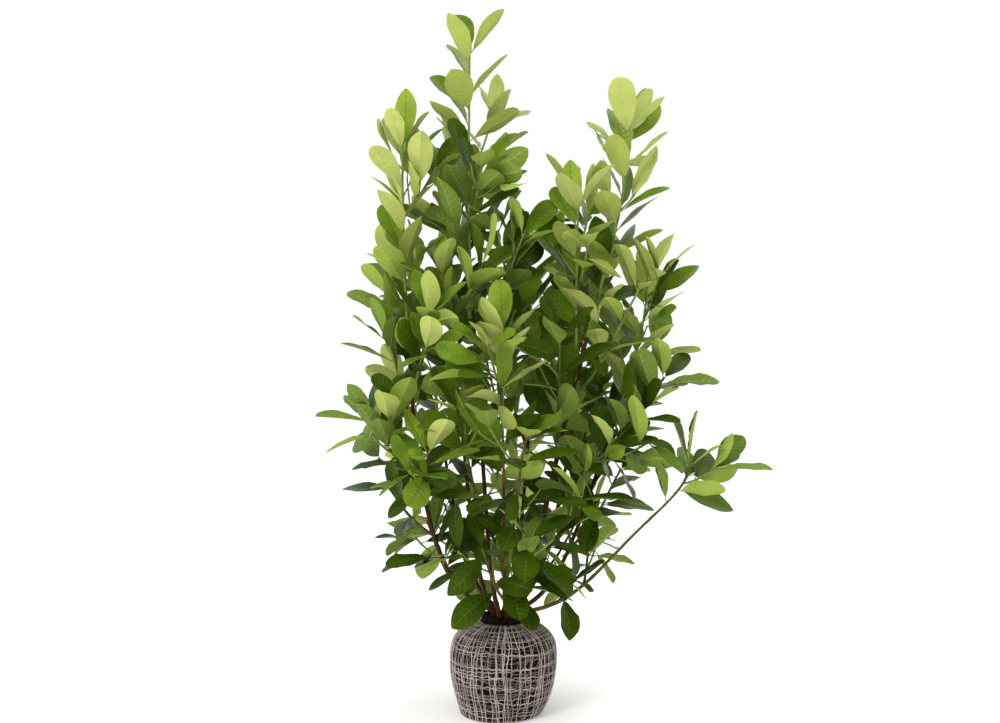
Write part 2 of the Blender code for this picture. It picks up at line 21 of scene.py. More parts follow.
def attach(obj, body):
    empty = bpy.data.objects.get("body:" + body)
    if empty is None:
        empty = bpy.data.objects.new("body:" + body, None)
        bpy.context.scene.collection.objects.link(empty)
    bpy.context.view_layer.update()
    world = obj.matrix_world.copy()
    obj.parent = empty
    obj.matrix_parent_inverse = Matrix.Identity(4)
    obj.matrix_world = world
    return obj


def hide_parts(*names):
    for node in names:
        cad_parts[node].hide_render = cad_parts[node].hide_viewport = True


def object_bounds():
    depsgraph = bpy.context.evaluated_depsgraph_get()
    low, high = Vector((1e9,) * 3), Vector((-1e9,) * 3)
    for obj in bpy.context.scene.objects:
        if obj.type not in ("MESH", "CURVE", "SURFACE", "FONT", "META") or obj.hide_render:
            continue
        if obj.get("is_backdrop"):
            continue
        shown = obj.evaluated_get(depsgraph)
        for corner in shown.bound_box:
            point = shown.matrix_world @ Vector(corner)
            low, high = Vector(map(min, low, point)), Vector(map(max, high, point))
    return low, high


bl_info = {
    "name": "Cherry laurel with a netted root ball",
    "version": (1, 0, 0),
    "blender": (4, 5, 0),
    "location": "3D View > Sidebar > Laurel",
    "description": "Grows the stems, twigs, leaves and netted ball of a cherry laurel round its packed model",
    "category": "Object",
}

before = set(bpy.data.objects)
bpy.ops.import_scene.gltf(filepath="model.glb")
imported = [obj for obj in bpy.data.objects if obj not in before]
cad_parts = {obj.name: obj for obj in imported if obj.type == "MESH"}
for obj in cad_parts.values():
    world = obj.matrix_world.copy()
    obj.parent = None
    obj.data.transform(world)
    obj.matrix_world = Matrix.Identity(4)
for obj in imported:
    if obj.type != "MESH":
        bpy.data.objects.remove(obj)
CAD_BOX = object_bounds()
BODY = "root"

# Root ball and collar, as in the model.
BALL_RADIUS = 0.1225
BALL_WIDEST_AT = 0.125
BALL_FOOT_RADIUS = 0.088
BALL_CROWN = 0.2125
SOIL_HEIGHT = 0.2085
SHOULDER_ROUNDNESS = 2.6
FOOT_ROUNDNESS = 2.2
BALL_SIDES = 24
BALL_RINGS = 6
COLLAR_RADIUS = 0.0445
COLLAR_THICKNESS = 0.014
COLLAR_HEIGHT = 0.018
COLLAR_SIDES = 16
COLLAR_SECTION_SIDES = 8

# Stems, as in the model. The knee and the neck steer the curve from the foot to the tip.
FOOT_RING = 0.0255
UPRIGHT = 0.022
NEARLY_UPRIGHT = 0.95
STEM_SIDES = 6
STEM_RINGS = 9
STEM_TAPER = 0.8
KNEE_RISE = 0.12
NECK_RISE = 0.50
NECK_REACH = 0.12
FLARE = 0.30
FLARE_HEIGHT = 0.012
GAP = 0.0003

# Twigs, as in the model.
TWIG_SIDES = 3
TWIG_RADIUS = 0.0034
TWIG_TIP_RADIUS = 0.0023
TWIG_TAPER = 0.7
TWIG_RINGS = 4
RING_EVERY = 0.16
TWIG_CLIMB = 0.55
TWIG_TURN_UP = 0.3
END_OUTWARD = 0.45
END_UPWARD = 0.75
BARE_ABOVE_FOOT = 0.05
LOWEST_SIDE_TWIG = 0.17
HIGHEST_SIDE_TWIG = 0.72
SIDE_TWIG_SHARE = (0.30, 0.42)
SIDE_TWIG_LENGTH = (0.09, 0.20)
SIDE_TWIG_SPLAY = (0.80, 1.15)
SIDE_TWIG_KNEE = 0.45
SIDE_TWIG_EASE = (0.7, 0.3)
SIDE_TWIG_TURN_UP = 0.5
SIDE_TWIG_GIRTH = 0.92
SIDE_TWIG_BARE = 0.35
TWIG_ROOM = 0.0025
SEAT_FROM = 0.03
SEAT_SAMPLES = 8
SEAT_STEPS = 30
SWAY = 0.006

# Leaves, as in the model. They stand up high in the crown and hang low in it.
INTERNODE = 0.0345
INTERNODE_SPREAD = (0.8, 1.2)
TIP_LEAF_SIZES = (0.92, 0.80)
LAST_SIDE_LEAF = 0.012
TIP_LEAF_FROM_END = 0.006
LEAF_LENGTH = 0.131
LEAF_LENGTH_SPREAD = (0.86, 1.08)
LEAF_WIDTH = 0.50
LEAF_THICKNESS = 0.0022
LEAF_FOLD = 0.22
LEAF_SHOULDER = (0.36, 0.88)
LEAF_BROADEST = (0.76, 0.90)
RIDGE_AT = 0.34
LOW_CROWN = 0.25
HIGH_CROWN = 0.88
LOW_ANGLE = 74
HIGH_ANGLE = 46
TIP_ANGLE = 16
TIP_STARTS = 0.8
SWING = 8
TURN_SWING = 12
DROOP = 0.42
DROOP_SPREAD = (0.5, 1.3)
FACE_RISE = 0.25
FACE_RISE_LOW_DOWN = 0.6
ROLL = 34
BEND = (0.02, 0.12)
BEND_LOW_DOWN = 0.10
SWING_PER_TRY = 9
SHRINK_PER_TRY = 0.035
CLEARANCE = 0.0008
BLADE_FROM = 0.14
TRIES = 9
LEAF_SEED = 7
GOLDEN_ANGLE = math.radians(137.5)
THIRD_OF_TURN = 2 * math.pi / 3

# Finer growth, added here: twigs on the twigs, then leaves where there is room left.
FINE_TWIGS_PER_METRE = 18
FINE_TWIG_LENGTH = (0.05, 0.10)
FINE_TWIG_RADII = (0.0022, 0.0015)
FINE_TWIG_SHARES = (0.15, 0.95)
FINE_TRIES = 6
FINE_INTERNODE = 0.62
FINE_LEAF_SIZES = (0.96, 1.24)
FINE_LIFT = 0.45
FINE_CLOSER = 14
FINE_STEEPER = 15
FINE_ROLL = 115
FINE_HANG = 0.45
FINE_HANGS_BELOW = 1.0
HANG_PER_METRE = 4
SPARSE = {"low_right_tip": 0.35}
FINE_LEAF_SEED = 571
FINE_REACH = (0.62, 0.84)
FINE_REACH_HEIGHTS = (0.38, 0.62)
FINE_TIP_REACH = 0.93
FINE_THINS_FROM = 0.68
FINE_TOP = 1.30
LEADER_TOP = 1.55
MOST_THINGS = 6000

# Every mesh has a UV map of this name and is smooth up to this angle.
UV_MAP = "surface"
SHARP_ANGLE = math.radians(60)

# The order of its corners that turns a quad over.
FLIPPED = [0, 3, 2, 1]

# Bark swells at each leaf. A twig starts wider than its own girth, a little inside what it leaves.
YOUNG_STEMS = ("stem_low_right",)
ROOT_GIRTH = 1.25
TWIG_ROOT = 0.004
KNOT_SWELLING = 0.16
KNOT_LENGTH = 0.0035
BROWN_TWIGS_BELOW = 0.60
STEM_BARK_SEED = 11
TWIG_BARK_SEED = 12

# The leaf's section: over the upper side's spans from its left margin to its right, then back below.
SECTION = (1.0, 0.55, 0.07, 0.0, -0.07, -0.55, -1.0, -0.55, -0.07, 0.0, 0.07, 0.55)
UPPER_SPANS = 6
BLADE_ROWS = 10
PETIOLE_SHARE = 0.11
PETIOLE_RADIUS = 0.0012
BLADE_FOOT_POWER = (0.58, 0.88)
BLADE_TIP_POWER = (0.48, 0.84)
BLADE_WIDTH_SPREAD = (0.80, 1.14)
FOLD_SPREAD = (0.35, 1.5)
FOLD_ROUNDNESS = 0.3
WAVE_SPREAD = (0.2, 1.0)
WAVES_ALONG = (1.4, 2.6)
RIB_SINKS = 0.0005
RIB_STANDS_OUT = 0.0011
BLADE_TWIST = 0.5
BLADE_SWERVE = 0.05
BLADE_SEED = 13
VEIN_SLANT = 0.17
LEAF_SHEEN = "#dcf5a8"

# A leaf takes the first tint whose limit is above its own age and light. The darker tints stand
# partly for older leaves and partly for painted shade low down and inside the crown, the lighter
# ones partly for young leaves and partly for painted light high up and far out.
TINT_LIMITS = {"dark": 0.42, "green": 0.59, "fresh": 0.75, "lime": math.inf}
AGE_AND_LIGHT_BY_HEIGHT = 0.66
AGE_BY_SHOOT = 0.24
AGE_AND_LIGHT_BY_REACH = 0.35
CROWN_HALF_WIDTH = 0.26
OUTER_FROM = 0.72
SPRAY_SHIFT = 0.42
LEAF_SHIFT = 0.06
TINT_SEED = 5

# The soil's surface, the net, which spans the ball's levels from foot to neck, and the rolled cloth.
# A string's path keeps above the floor, and above the soil, by its radius times the room.
SOIL_RINGS = 92
SOIL_SIDES = 120
BALL_LUMPS = 0.0016
FOOT_DRAWN_UP = 0.25
SHOULDER_DRAWN_DOWN = 0.6
FOOT_BULGE = 0.013
FOOT_BULGE_HEIGHT = 0.07
FOOT_BULGE_TURN = math.radians(215)
NET_FOOT = 0.17
NET_NECK = 0.865
NET_SEED = 21
STRING_SIDES = 5
STRING_LIE = (-0.0005, 0.0003)
STRING_ROOM = 1.2
THINNEST_STRING = 0.45
UPRIGHT_STEPS = 80
LEVEL_STEPS = 240
ROLL_STEPS = 144
ROLL_SIDES = 22
CLOTH_KNOT_TURN = 0.05
CLOTH_KNOT_WIDTH = 0.24
CLOTH_KNOT_SWELLING = 0.32
CLOTH_KNOT_HEIGHT = 0.009

# The camera stands in front of the plant, aimed a little left of its axis.
PHOTO_WIDTH = 1000
PHOTO_HEIGHT = 723
METRES_PER_PIXEL = 0.00225
FOOT_PIXEL_HEIGHT = 716
AXIS_PIXEL = 503.5
SENSOR_WIDTH = 36

# The floor has this many quads along each side.
FLOOR_STEPS = 8

# A stem ends at a bearing, a reach from the plant's axis and a height. Its spread is the share
# of that reach it has gained low down, before it turns upright. Its foot has its own bearing.
Stem = namedtuple("Stem", "name bearing reach height spread radius tip_radius foot_bearing")
STEMS = (
    Stem("stem_right", 354, 0.190, 0.860, 0.40, 0.0090, 0.0042, None),
    Stem("stem_left", 188, 0.215, 0.860, 0.80, 0.0062, 0.0036, 205),
    Stem("stem_centre", 160, 0.075, 0.920, 0.50, 0.0062, 0.0038, 245),
    Stem("stem_inner_left", 135, 0.160, 0.790, 0.60, 0.0060, 0.0036, 165),
    Stem("stem_low_right", 349, 0.335, 0.455, 0.50, 0.0054, 0.0030, 325),
    Stem("stem_outer_right", 6, 0.255, 0.660, 0.55, 0.0060, 0.0034, 5),
    Stem("stem_back_centre", 66, 0.165, 0.700, 0.55, 0.0060, 0.0034, 85),
    Stem("stem_front", 270, 0.130, 0.540, 0.60, 0.0056, 0.0032, 285),
    Stem("stem_back_right", 46, 0.245, 0.640, 0.60, 0.0058, 0.0034, 45),
    Stem("stem_back_left", 131, 0.235, 0.640, 0.60, 0.0058, 0.0034, 125),
)
MAIN_STEM_FOOT = (0.004, -0.002)

# A mass leaves its stem at a share of the stem's length, 1 being the tip. Its leading twig ends
# at a bearing, a reach and a height, is bare for a share of its length, and carries side twigs.
# Its leaves rise more where lift is above 0 and hang more where it is below.
Mass = namedtuple("Mass", "name stem at bearing reach height bare twigs seed lift", defaults=(0.0,))
MASSES = (
    Mass("leader_centre", "stem_centre", 1, 165, 0.079, 1.490, 0.06, 2, 70),
    Mass("leader_left", "stem_left", 1, 187, 0.226, 1.272, 0.08, 1, 61),
    Mass("leader_right", "stem_right", 1, 351, 0.280, 1.310, 0.06, 1, 67),
    Mass("leader_inner", "stem_inner_left", 1, 143, 0.145, 1.270, 0.10, 1, 14),
    Mass("outer_right_tip", "stem_outer_right", 1, 2, 0.325, 0.985, 0.06, 2, 64),
    Mass("back_centre_tip", "stem_back_centre", 1, 67, 0.141, 1.060, 0.06, 2, 16),
    Mass("front_tip", "stem_front", 1, 267, 0.165, 0.860, 0.06, 2, 17),
    Mass("low_right_tip", "stem_low_right", 1, 352, 0.415, 0.570, 0.30, 1, 65, 0.5),
    Mass("back_right_tip", "stem_back_right", 1, 40, 0.245, 0.990, 0.06, 2, 19),
    Mass("back_left_tip", "stem_back_left", 1, 126, 0.235, 1.010, 0.06, 2, 20),
    Mass("right_second", "stem_right", 0.90, 335, 0.180, 1.140, 0.15, 2, 63),
    Mass("right_front_low", "stem_right", 0.42, 323, 0.220, 0.500, 0.22, 1, 21),
    Mass("right_arm", "stem_right", 0.62, 353, 0.360, 0.765, 0.25, 1, 22),
    Mass("right_front_high", "stem_right", 0.72, 308, 0.195, 0.850, 0.20, 1, 23),
    Mass("right_shoulder", "stem_right", 0.86, 347, 0.305, 0.960, 0.20, 1, 24),
    Mass("left_low", "stem_left", 0.50, 190, 0.260, 0.520, 0.20, 0, 25),
    Mass("left_arm", "stem_left", 0.66, 188, 0.300, 0.675, 0.30, 1, 66, 0.1),
    Mass("left_mid", "stem_left", 0.80, 192, 0.265, 0.850, 0.20, 0, 27),
    Mass("left_high", "stem_left", 0.95, 174, 0.270, 0.975, 0.25, 0, 28),
    Mass("left_foot", "stem_left", 0.28, 205, 0.160, 0.370, 0.20, 0, 29, 0.4),
    Mass("left_foot_back", "stem_left", 0.35, 167, 0.180, 0.430, 0.20, 1, 30, 0.2),
    Mass("left_front_mid", "stem_left", 0.60, 224, 0.225, 0.610, 0.20, 1, 31),
    Mass("left_front_high", "stem_left", 0.87, 222, 0.215, 0.905, 0.20, 1, 32),
    Mass("centre_left_front", "stem_centre", 0.50, 234, 0.170, 0.700, 0.25, 1, 33),
    Mass("centre_left_high", "stem_centre", 0.80, 209, 0.155, 0.990, 0.20, 1, 34),
    Mass("centre_right_high", "stem_centre", 0.92, 304, 0.080, 1.080, 0.15, 1, 35),
    Mass("centre_front", "stem_front", 0.60, 284, 0.200, 0.650, 0.20, 1, 36),
    Mass("front_low_left", "stem_front", 0.35, 252, 0.150, 0.400, 0.20, 1, 37, 0.3),
    Mass("front_low_right", "stem_front", 0.42, 288, 0.180, 0.430, 0.20, 1, 38, 0.3),
    Mass("front_foot", "stem_front", 0.24, 300, 0.120, 0.345, 0.30, 0, 39, 0.3),
    Mass("right_foot", "stem_low_right", 0.35, 340, 0.165, 0.320, 0.20, 1, 40, 0.2),
    Mass("right_foot_back", "stem_low_right", 0.55, 10, 0.200, 0.390, 0.20, 1, 41),
    Mass("right_low", "stem_outer_right", 0.55, 351, 0.265, 0.560, 0.20, 1, 42),
    Mass("right_back_arm", "stem_outer_right", 0.80, 8, 0.350, 0.830, 0.20, 1, 43),
    Mass("right_back_low", "stem_back_right", 0.35, 34, 0.240, 0.470, 0.20, 1, 44),
    Mass("back_right_side", "stem_back_right", 0.70, 46, 0.345, 0.745, 0.20, 1, 45),
    Mass("back_centre_low", "stem_back_centre", 0.50, 83, 0.265, 0.540, 0.20, 1, 46),
    Mass("back_centre_high", "stem_back_centre", 0.85, 92, 0.270, 0.860, 0.20, 1, 47),
    Mass("back_left_side", "stem_back_left", 0.70, 139, 0.310, 0.720, 0.20, 1, 48),
    Mass("back_left_low", "stem_back_left", 0.40, 122, 0.270, 0.440, 0.20, 1, 49),
    Mass("back_foot", "stem_back_centre", 0.20, 92, 0.160, 0.350, 0.20, 1, 50, 0.3),
)

# A limb has a radius, a heading and a direction square to it at each of its points. A leaf's matrix
# takes X to its midrib, Y across it and Z to its upper side. A shoot is one twig of a mass, with each
# leaf and its share of the twig's length. A layer of net has its counts of strings, their radius,
# how deep they lie, how loosely they run and how many more of them slant.
Limb = namedtuple("Limb", "points radii headings sides")
Leaf = namedtuple("Leaf", "matrix length bend")
Shoot = namedtuple("Shoot", "mass twig kind leaves")
Sheet = namedtuple("Sheet", "points quads tris quad_uv tri_uv quad_slots tri_slots")
Layer = namedtuple("Layer", "uprights levels radius sunk looseness slanting")

# How a leaf stands on its twig. Lift makes it stand like one higher up, by a share of the crown. One
# that points at the plant's axis stands closer to its twig by so many degrees, and one that points
# away from it as much further off, and hangs besides. High up all stand steeper by so many degrees.
# Roll is how far a leaf may turn about its own midrib.
Pose = namedtuple("Pose", "lift closer hang steeper roll", defaults=(0, 0, 0, ROLL))


def from_hex(code):
    """Linear red, green and blue, and an alpha of 1, for an sRGB colour written as #rrggbb."""
    channels = [int(code[i:i + 2], 16) / 255 for i in (1, 3, 5)]
    linear = [c / 12.92 if c <= 0.04045 else ((c + 0.055) / 1.055) ** 2.4 for c in channels]
    return (*linear, 1.0)


def in_plan(bearing, reach, height):
    """The point at a bearing and a reach from the plant's axis, at a height."""
    angle = math.radians(bearing)
    return Vector((reach * math.cos(angle), reach * math.sin(angle), height))


def mix(a, b, share):
    return a + (b - a) * share


def cubic(p0, p1, p2, p3, count):
    """Points along the cubic curve that leaves p0 towards p1 and reaches p3 from p2."""
    points = []
    for i in range(count):
        t = i / (count - 1)
        s = 1 - t
        points.append(p0 * s**3 + p1 * (3 * s * s * t) + p2 * (3 * s * t * t) + p3 * t**3)
    return points


def side_of(heading):
    """A direction square to a heading, level unless the heading is upright."""
    upright = abs(heading.z) > NEARLY_UPRIGHT
    return heading.cross(Vector((0, 1, 0)) if upright else Vector((0, 0, 1))).normalized()


def limb_along(points, radii, first_heading=None):
    """A limb with a heading and a side direction at each of its points. The sides don't twist round it."""
    last = len(points) - 1
    headings = []
    for i, point in enumerate(points):
        before = (point - points[max(i - 1, 0)]).normalized()
        after = (points[min(i + 1, last)] - point).normalized()
        headings.append((before + after).normalized())
    headings[0] = first_heading or headings[0]
    sides = [side_of(headings[0])]
    for before, after in zip(headings, headings[1:]):
        sides.append((before.rotation_difference(after) @ sides[-1]).normalized())
    return Limb(points, radii, headings, sides)


def along(limb, share):
    """The point, the direction, the side and the radius at a share of a limb's length."""
    place = min(max(share, 0.0), 1.0) * (len(limb.points) - 1)
    i = min(int(place), len(limb.points) - 2)
    part = place - i
    step = limb.points[i + 1] - limb.points[i]
    direction = step.normalized()
    side = limb.sides[i].lerp(limb.sides[i + 1], part)
    side = (side - direction * side.dot(direction)).normalized()
    return limb.points[i] + step * part, direction, side, mix(limb.radii[i], limb.radii[i + 1], part)


def length_of(limb):
    return sum((b - a).length for a, b in zip(limb.points, limb.points[1:]))


def turned_about(direction, side, angle):
    return Matrix.Rotation(angle, 3, direction) @ side


def limb_solid(limb, sides, extra=0.0):
    """The corners and faces of the plain closed tube that keeps a limb's room."""
    corners, faces = [], []
    last = len(limb.points) - 1
    for point, radius, heading, side in zip(*limb):
        for k in range(sides):
            corners.append(point + turned_about(heading, side, 2 * math.pi * k / sides) * (radius + extra))
    for i in range(last):
        for k in range(sides):
            a, b = i * sides + k, i * sides + (k + 1) % sides
            faces.append((a, b, b + sides, a + sides))
    faces.append(tuple(reversed(range(sides))))
    faces.append(tuple(range(last * sides, (last + 1) * sides)))
    return corners, faces


def leaf_solid(leaf, start=0.0, extra=0.0):
    """The corners and faces of the plain leaf of twelve faces that keeps a leaf's room."""
    length = leaf.length

    def place(share, sideways, height):
        half = sideways * LEAF_WIDTH * length / 2
        half += math.copysign(extra, half) if half else 0.0
        rise = LEAF_FOLD * abs(half) - leaf.bend * length * share**2 + height
        return leaf.matrix @ Vector((share * length, half, rise))

    ridge = LEAF_THICKNESS / 2 + extra
    corners = [
        place(start, 0, 0),
        place(LEAF_SHOULDER[0], LEAF_SHOULDER[1], 0),
        place(LEAF_BROADEST[0], LEAF_BROADEST[1], 0),
        place(1 + extra / length, 0, 0),
        place(LEAF_BROADEST[0], -LEAF_BROADEST[1], 0),
        place(LEAF_SHOULDER[0], -LEAF_SHOULDER[1], 0),
        place(RIDGE_AT, 0, ridge),
        place(RIDGE_AT, 0, -ridge),
    ]
    upper = [(i, (i + 1) % 6, 6) for i in range(6)]
    lower = [((i + 1) % 6, i, 7) for i in range(6)]
    return corners, upper + lower


class Thing:
    """A grown shape, with a sphere round it. Its blade is the shape without the root in its twig."""

    def __init__(self, owner, shape, blade=None):
        corners = shape[0]
        self.owner = owner
        self.centre = sum(corners, Vector()) / len(corners)
        self.radius = max((corner - self.centre).length for corner in corners)
        self.corners = corners
        self.whole = BVHTree.FromPolygons(*shape)
        self.blade = BVHTree.FromPolygons(*blade) if blade else self.whole


class Space:
    """What has grown so far. A row of spheres holds each thing's centre and radius."""

    def __init__(self):
        self.things = []
        self.spheres = np.zeros((MOST_THINGS, 4))

    def add(self, thing):
        self.spheres[len(self.things)] = (*thing.centre, thing.radius)
        self.things.append(thing)

    def is_clear(self, thing, ignored=()):
        """Whether a thing touches nothing, its own mass being tested by the blades alone."""
        spheres = self.spheres[:len(self.things)]
        apart = ((spheres[:, :3] - np.array(thing.centre)) ** 2).sum(axis=1)
        near = np.flatnonzero(apart <= (spheres[:, 3] + thing.radius + GAP) ** 2)
        for i in near:
            other = self.things[i]
            if other.owner in ignored:
                continue
            if thing.owner == other.owner:
                touching = thing.blade.overlap(other.blade)
            else:
                touching = thing.whole.overlap(other.whole)
            if touching:
                return False
        return True


def ball_profile():
    """Radius and height of the ball's outline, from its foot to its flat top, as in the model."""
    outline = [(BALL_FOOT_RADIUS, 0.0)]
    for i in range(1, BALL_RINGS):
        u = 1 - i / BALL_RINGS
        radius = BALL_RADIUS - (BALL_RADIUS - BALL_FOOT_RADIUS) * u**FOOT_ROUNDNESS
        outline.append((radius, BALL_WIDEST_AT * (1 - u)))
    steps = BALL_RINGS + 2
    top_share = (SOIL_HEIGHT - BALL_WIDEST_AT) / (BALL_CROWN - BALL_WIDEST_AT)
    top_angle = math.asin(top_share ** (SHOULDER_ROUNDNESS / 2))
    for i in range(steps + 1):
        angle = top_angle * i / steps
        across, up = math.cos(angle) ** (2 / SHOULDER_ROUNDNESS), math.sin(angle) ** (2 / SHOULDER_ROUNDNESS)
        outline.append((BALL_RADIUS * across, BALL_WIDEST_AT + (BALL_CROWN - BALL_WIDEST_AT) * up))
    return outline


def collar_profile():
    """Radius and height round the section of the rolled cloth, as in the model."""
    outline = []
    half_step = math.pi / COLLAR_SECTION_SIDES
    for i in range(COLLAR_SECTION_SIDES):
        angle = (2 * i + 1) * half_step - math.pi / 2
        radius = COLLAR_RADIUS + COLLAR_THICKNESS / 2 * math.cos(angle)
        rise = COLLAR_HEIGHT / 2 * (1 + math.sin(angle) / math.cos(half_step))
        outline.append((radius, SOIL_HEIGHT + GAP + rise))
    return outline


def turned(profile, sides, ring):
    """The corners and faces of a profile turned about Z. A ring's profile is closed."""
    corners, faces = [], []
    count = len(profile)
    for k in range(sides):
        turn = 2 * math.pi * k / sides
        corners += [Vector((r * math.cos(turn), r * math.sin(turn), z)) for r, z in profile]
    for k in range(sides):
        here, there = k * count, (k + 1) % sides * count
        for i in range(count if ring else count - 1):
            j = (i + 1) % count
            faces.append((here + i, there + i, there + j, here + j))
    if not ring:
        faces.append(tuple(k * count for k in reversed(range(sides))))
        faces.append(tuple(k * count + count - 1 for k in range(sides)))
    return corners, faces


def grow_stem(stem):
    """A stem leaves the soil upright, spreads low down and then turns up to its tip."""
    if stem.foot_bearing is None:
        foot = Vector((*MAIN_STEM_FOOT, SOIL_HEIGHT + GAP))
    else:
        foot = in_plan(stem.foot_bearing, FOOT_RING, SOIL_HEIGHT + GAP)
    tip = in_plan(stem.bearing, stem.reach, stem.height)
    rise = stem.height - SOIL_HEIGHT
    knee = in_plan(stem.bearing, stem.reach * stem.spread, SOIL_HEIGHT + KNEE_RISE * rise)
    neck = in_plan(stem.bearing, stem.reach * (stem.spread + NECK_REACH), SOIL_HEIGHT + NECK_RISE * rise)
    root = foot + Vector((0, 0, UPRIGHT))
    points = [foot, *cubic(root, knee, neck, tip, STEM_RINGS)]
    radii = []
    for i, point in enumerate(points):
        radius = mix(stem.radius, stem.tip_radius, (i / (len(points) - 1)) ** STEM_TAPER)
        radii.append(radius * (1 + FLARE * math.exp(-(point.z - foot.z) / FLARE_HEIGHT)))
    return limb_along(points, radii)


def seated(point, heading, stem_tree):
    """Where a twig starts on the line from a point along a heading, so that it just clears its stem."""
    side = side_of(heading)
    corners = [turned_about(heading, side, k * THIRD_OF_TURN) * TWIG_RADIUS for k in range(TWIG_SIDES)]
    samples = [Vector()]
    for a, b in zip(corners, corners[1:] + corners[:1]):
        samples += [a.lerp(b, i / SEAT_SAMPLES) for i in range(SEAT_SAMPLES)]
    out = SEAT_FROM
    for _ in range(SEAT_STEPS):
        out -= min(stem_tree.find_nearest(point + heading * out + sample)[3] for sample in samples) - GAP
    return point + heading * out


def leading_twig(mass, stems, sway):
    """The twig that a mass grows from. It starts 0.3 mm clear of its stem and curves up to its tip."""
    point, direction, _, radius = along(stems[mass.stem], mass.at)
    tip = in_plan(mass.bearing, mass.reach, mass.height)
    if mass.at == 1:
        start = point + direction * GAP
        heading = direction
        turn_up = Vector((0, 0, 1))
        first_radius = radius
    else:
        level = Vector((tip.x - point.x, tip.y - point.y, 0))
        heading = (level + Vector((0, 0, tip.z - point.z)) * TWIG_CLIMB).normalized()
        start = seated(point, heading, BVHTree.FromPolygons(*limb_solid(stems[mass.stem], STEM_SIDES)))
        turn_up = level.normalized() * END_OUTWARD + Vector((0, 0, END_UPWARD))
        first_radius = TWIG_RADIUS
    reach = (tip - start).length
    middle = start + heading * reach / 3 + sway
    late = tip - turn_up * TWIG_TURN_UP * reach + sway
    points = cubic(start, middle, late, tip, TWIG_RINGS + round(reach / RING_EVERY))
    last = len(points) - 1
    radii = [mix(first_radius, TWIG_TIP_RADIUS, (i / last) ** TWIG_TAPER) for i in range(last + 1)]
    return limb_along(points, radii, heading)


def side_twig(parent, share, turn, rng, length=None, radii=(TWIG_RADIUS, TWIG_TIP_RADIUS)):
    """A short twig that leaves its parent's axis at about 45 degrees and curves upwards."""
    point, direction, side, radius = along(parent, share)
    outward = turned_about(direction, side, turn)
    if length is None:
        length = length_of(parent) * rng.uniform(*SIDE_TWIG_SHARE)
        length = min(max(length, SIDE_TWIG_LENGTH[0]), SIDE_TWIG_LENGTH[1])
    heading = (direction + outward * rng.uniform(*SIDE_TWIG_SPLAY)).normalized()
    knee = point + heading * length * SIDE_TWIG_KNEE
    turn_up = (heading + Vector((0, 0, SIDE_TWIG_TURN_UP))).normalized()
    tip = knee + turn_up * length * (1 - SIDE_TWIG_KNEE)
    near, far = SIDE_TWIG_EASE
    points = cubic(point, mix(point, knee, near), mix(knee, tip, far), tip, TWIG_RINGS)
    last = len(points) - 1
    first_radius = min(radius, radii[0]) * SIDE_TWIG_GIRTH
    return limb_along(points, [mix(first_radius, radii[1], i / last) for i in range(last + 1)])


def leaf_places(twig, bare, rng):
    """Share of the twig, turn about it and size for each leaf, from the lowest to the tip."""
    length = length_of(twig)
    places = []
    position = bare * length
    turn = THIRD_OF_TURN * (rng.randrange(TWIG_SIDES) + 0.5)
    while position < length - LAST_SIDE_LEAF:
        places.append((position / length, turn, 1.0))
        position += INTERNODE * rng.uniform(*INTERNODE_SPREAD)
        turn += THIRD_OF_TURN
    for size in TIP_LEAF_SIZES:
        places.append((1.0 - TIP_LEAF_FROM_END / length, turn, size))
        turn += THIRD_OF_TURN
    return places


def set_leaf(twig, share, turn, size, pose, rng, effort):
    """A leaf at its place on a twig. Later tries, with more effort, turn it further from its pose."""
    point, direction, side, _ = along(twig, share)
    lift = min(max((point.z - LOW_CROWN) / (HIGH_CROWN - LOW_CROWN) + pose.lift, 0.0), 1.0)
    low_down = 1 - lift
    at_tip = max(share - TIP_STARTS, 0.0) / (1 - TIP_STARTS)
    swing = SWING + SWING_PER_TRY * effort
    angle = mix(LOW_ANGLE, HIGH_ANGLE, lift) - TIP_ANGLE * at_tip + rng.uniform(-swing, swing)
    turn += math.radians(rng.uniform(-TURN_SWING, TURN_SWING) * (1 + effort))
    outward = turned_about(direction, side, turn)
    facing = outward.dot(Vector((point.x, point.y, 0)).normalized())
    angle = math.radians(angle + pose.closer * facing - pose.steeper * lift)
    heading = direction * math.cos(angle) + outward * math.sin(angle)
    droop = DROOP * low_down + pose.hang * max(facing, 0)
    heading = (heading - Vector((0, 0, droop)) * rng.uniform(*DROOP_SPREAD)).normalized()
    face = direction * (1 - FACE_RISE_LOW_DOWN * low_down)
    face = face + Vector((0, 0, FACE_RISE + FACE_RISE_LOW_DOWN * low_down))
    face = (face - heading * face.dot(heading)).normalized()
    roll = rng.uniform(-pose.roll, pose.roll) + rng.uniform(-SWING_PER_TRY, SWING_PER_TRY) * effort
    face = Matrix.Rotation(math.radians(roll), 3, heading) @ face
    across = face.cross(heading)
    matrix = Matrix((heading, across, face)).transposed().to_4x4()
    matrix.translation = point
    length = LEAF_LENGTH * size * rng.uniform(*LEAF_LENGTH_SPREAD) * (1 - SHRINK_PER_TRY * effort)
    bend = rng.uniform(*BEND) + BEND_LOW_DOWN * low_down
    return Leaf(matrix, length, bend)


def twig_thing(mass, twig, extra=0.0):
    return Thing(mass.name, limb_solid(twig, TWIG_SIDES, extra))


def leaf_thing(mass, leaf, extra=0.0):
    return Thing(mass.name, leaf_solid(leaf, 0.0, extra), leaf_solid(leaf, BLADE_FROM, extra))


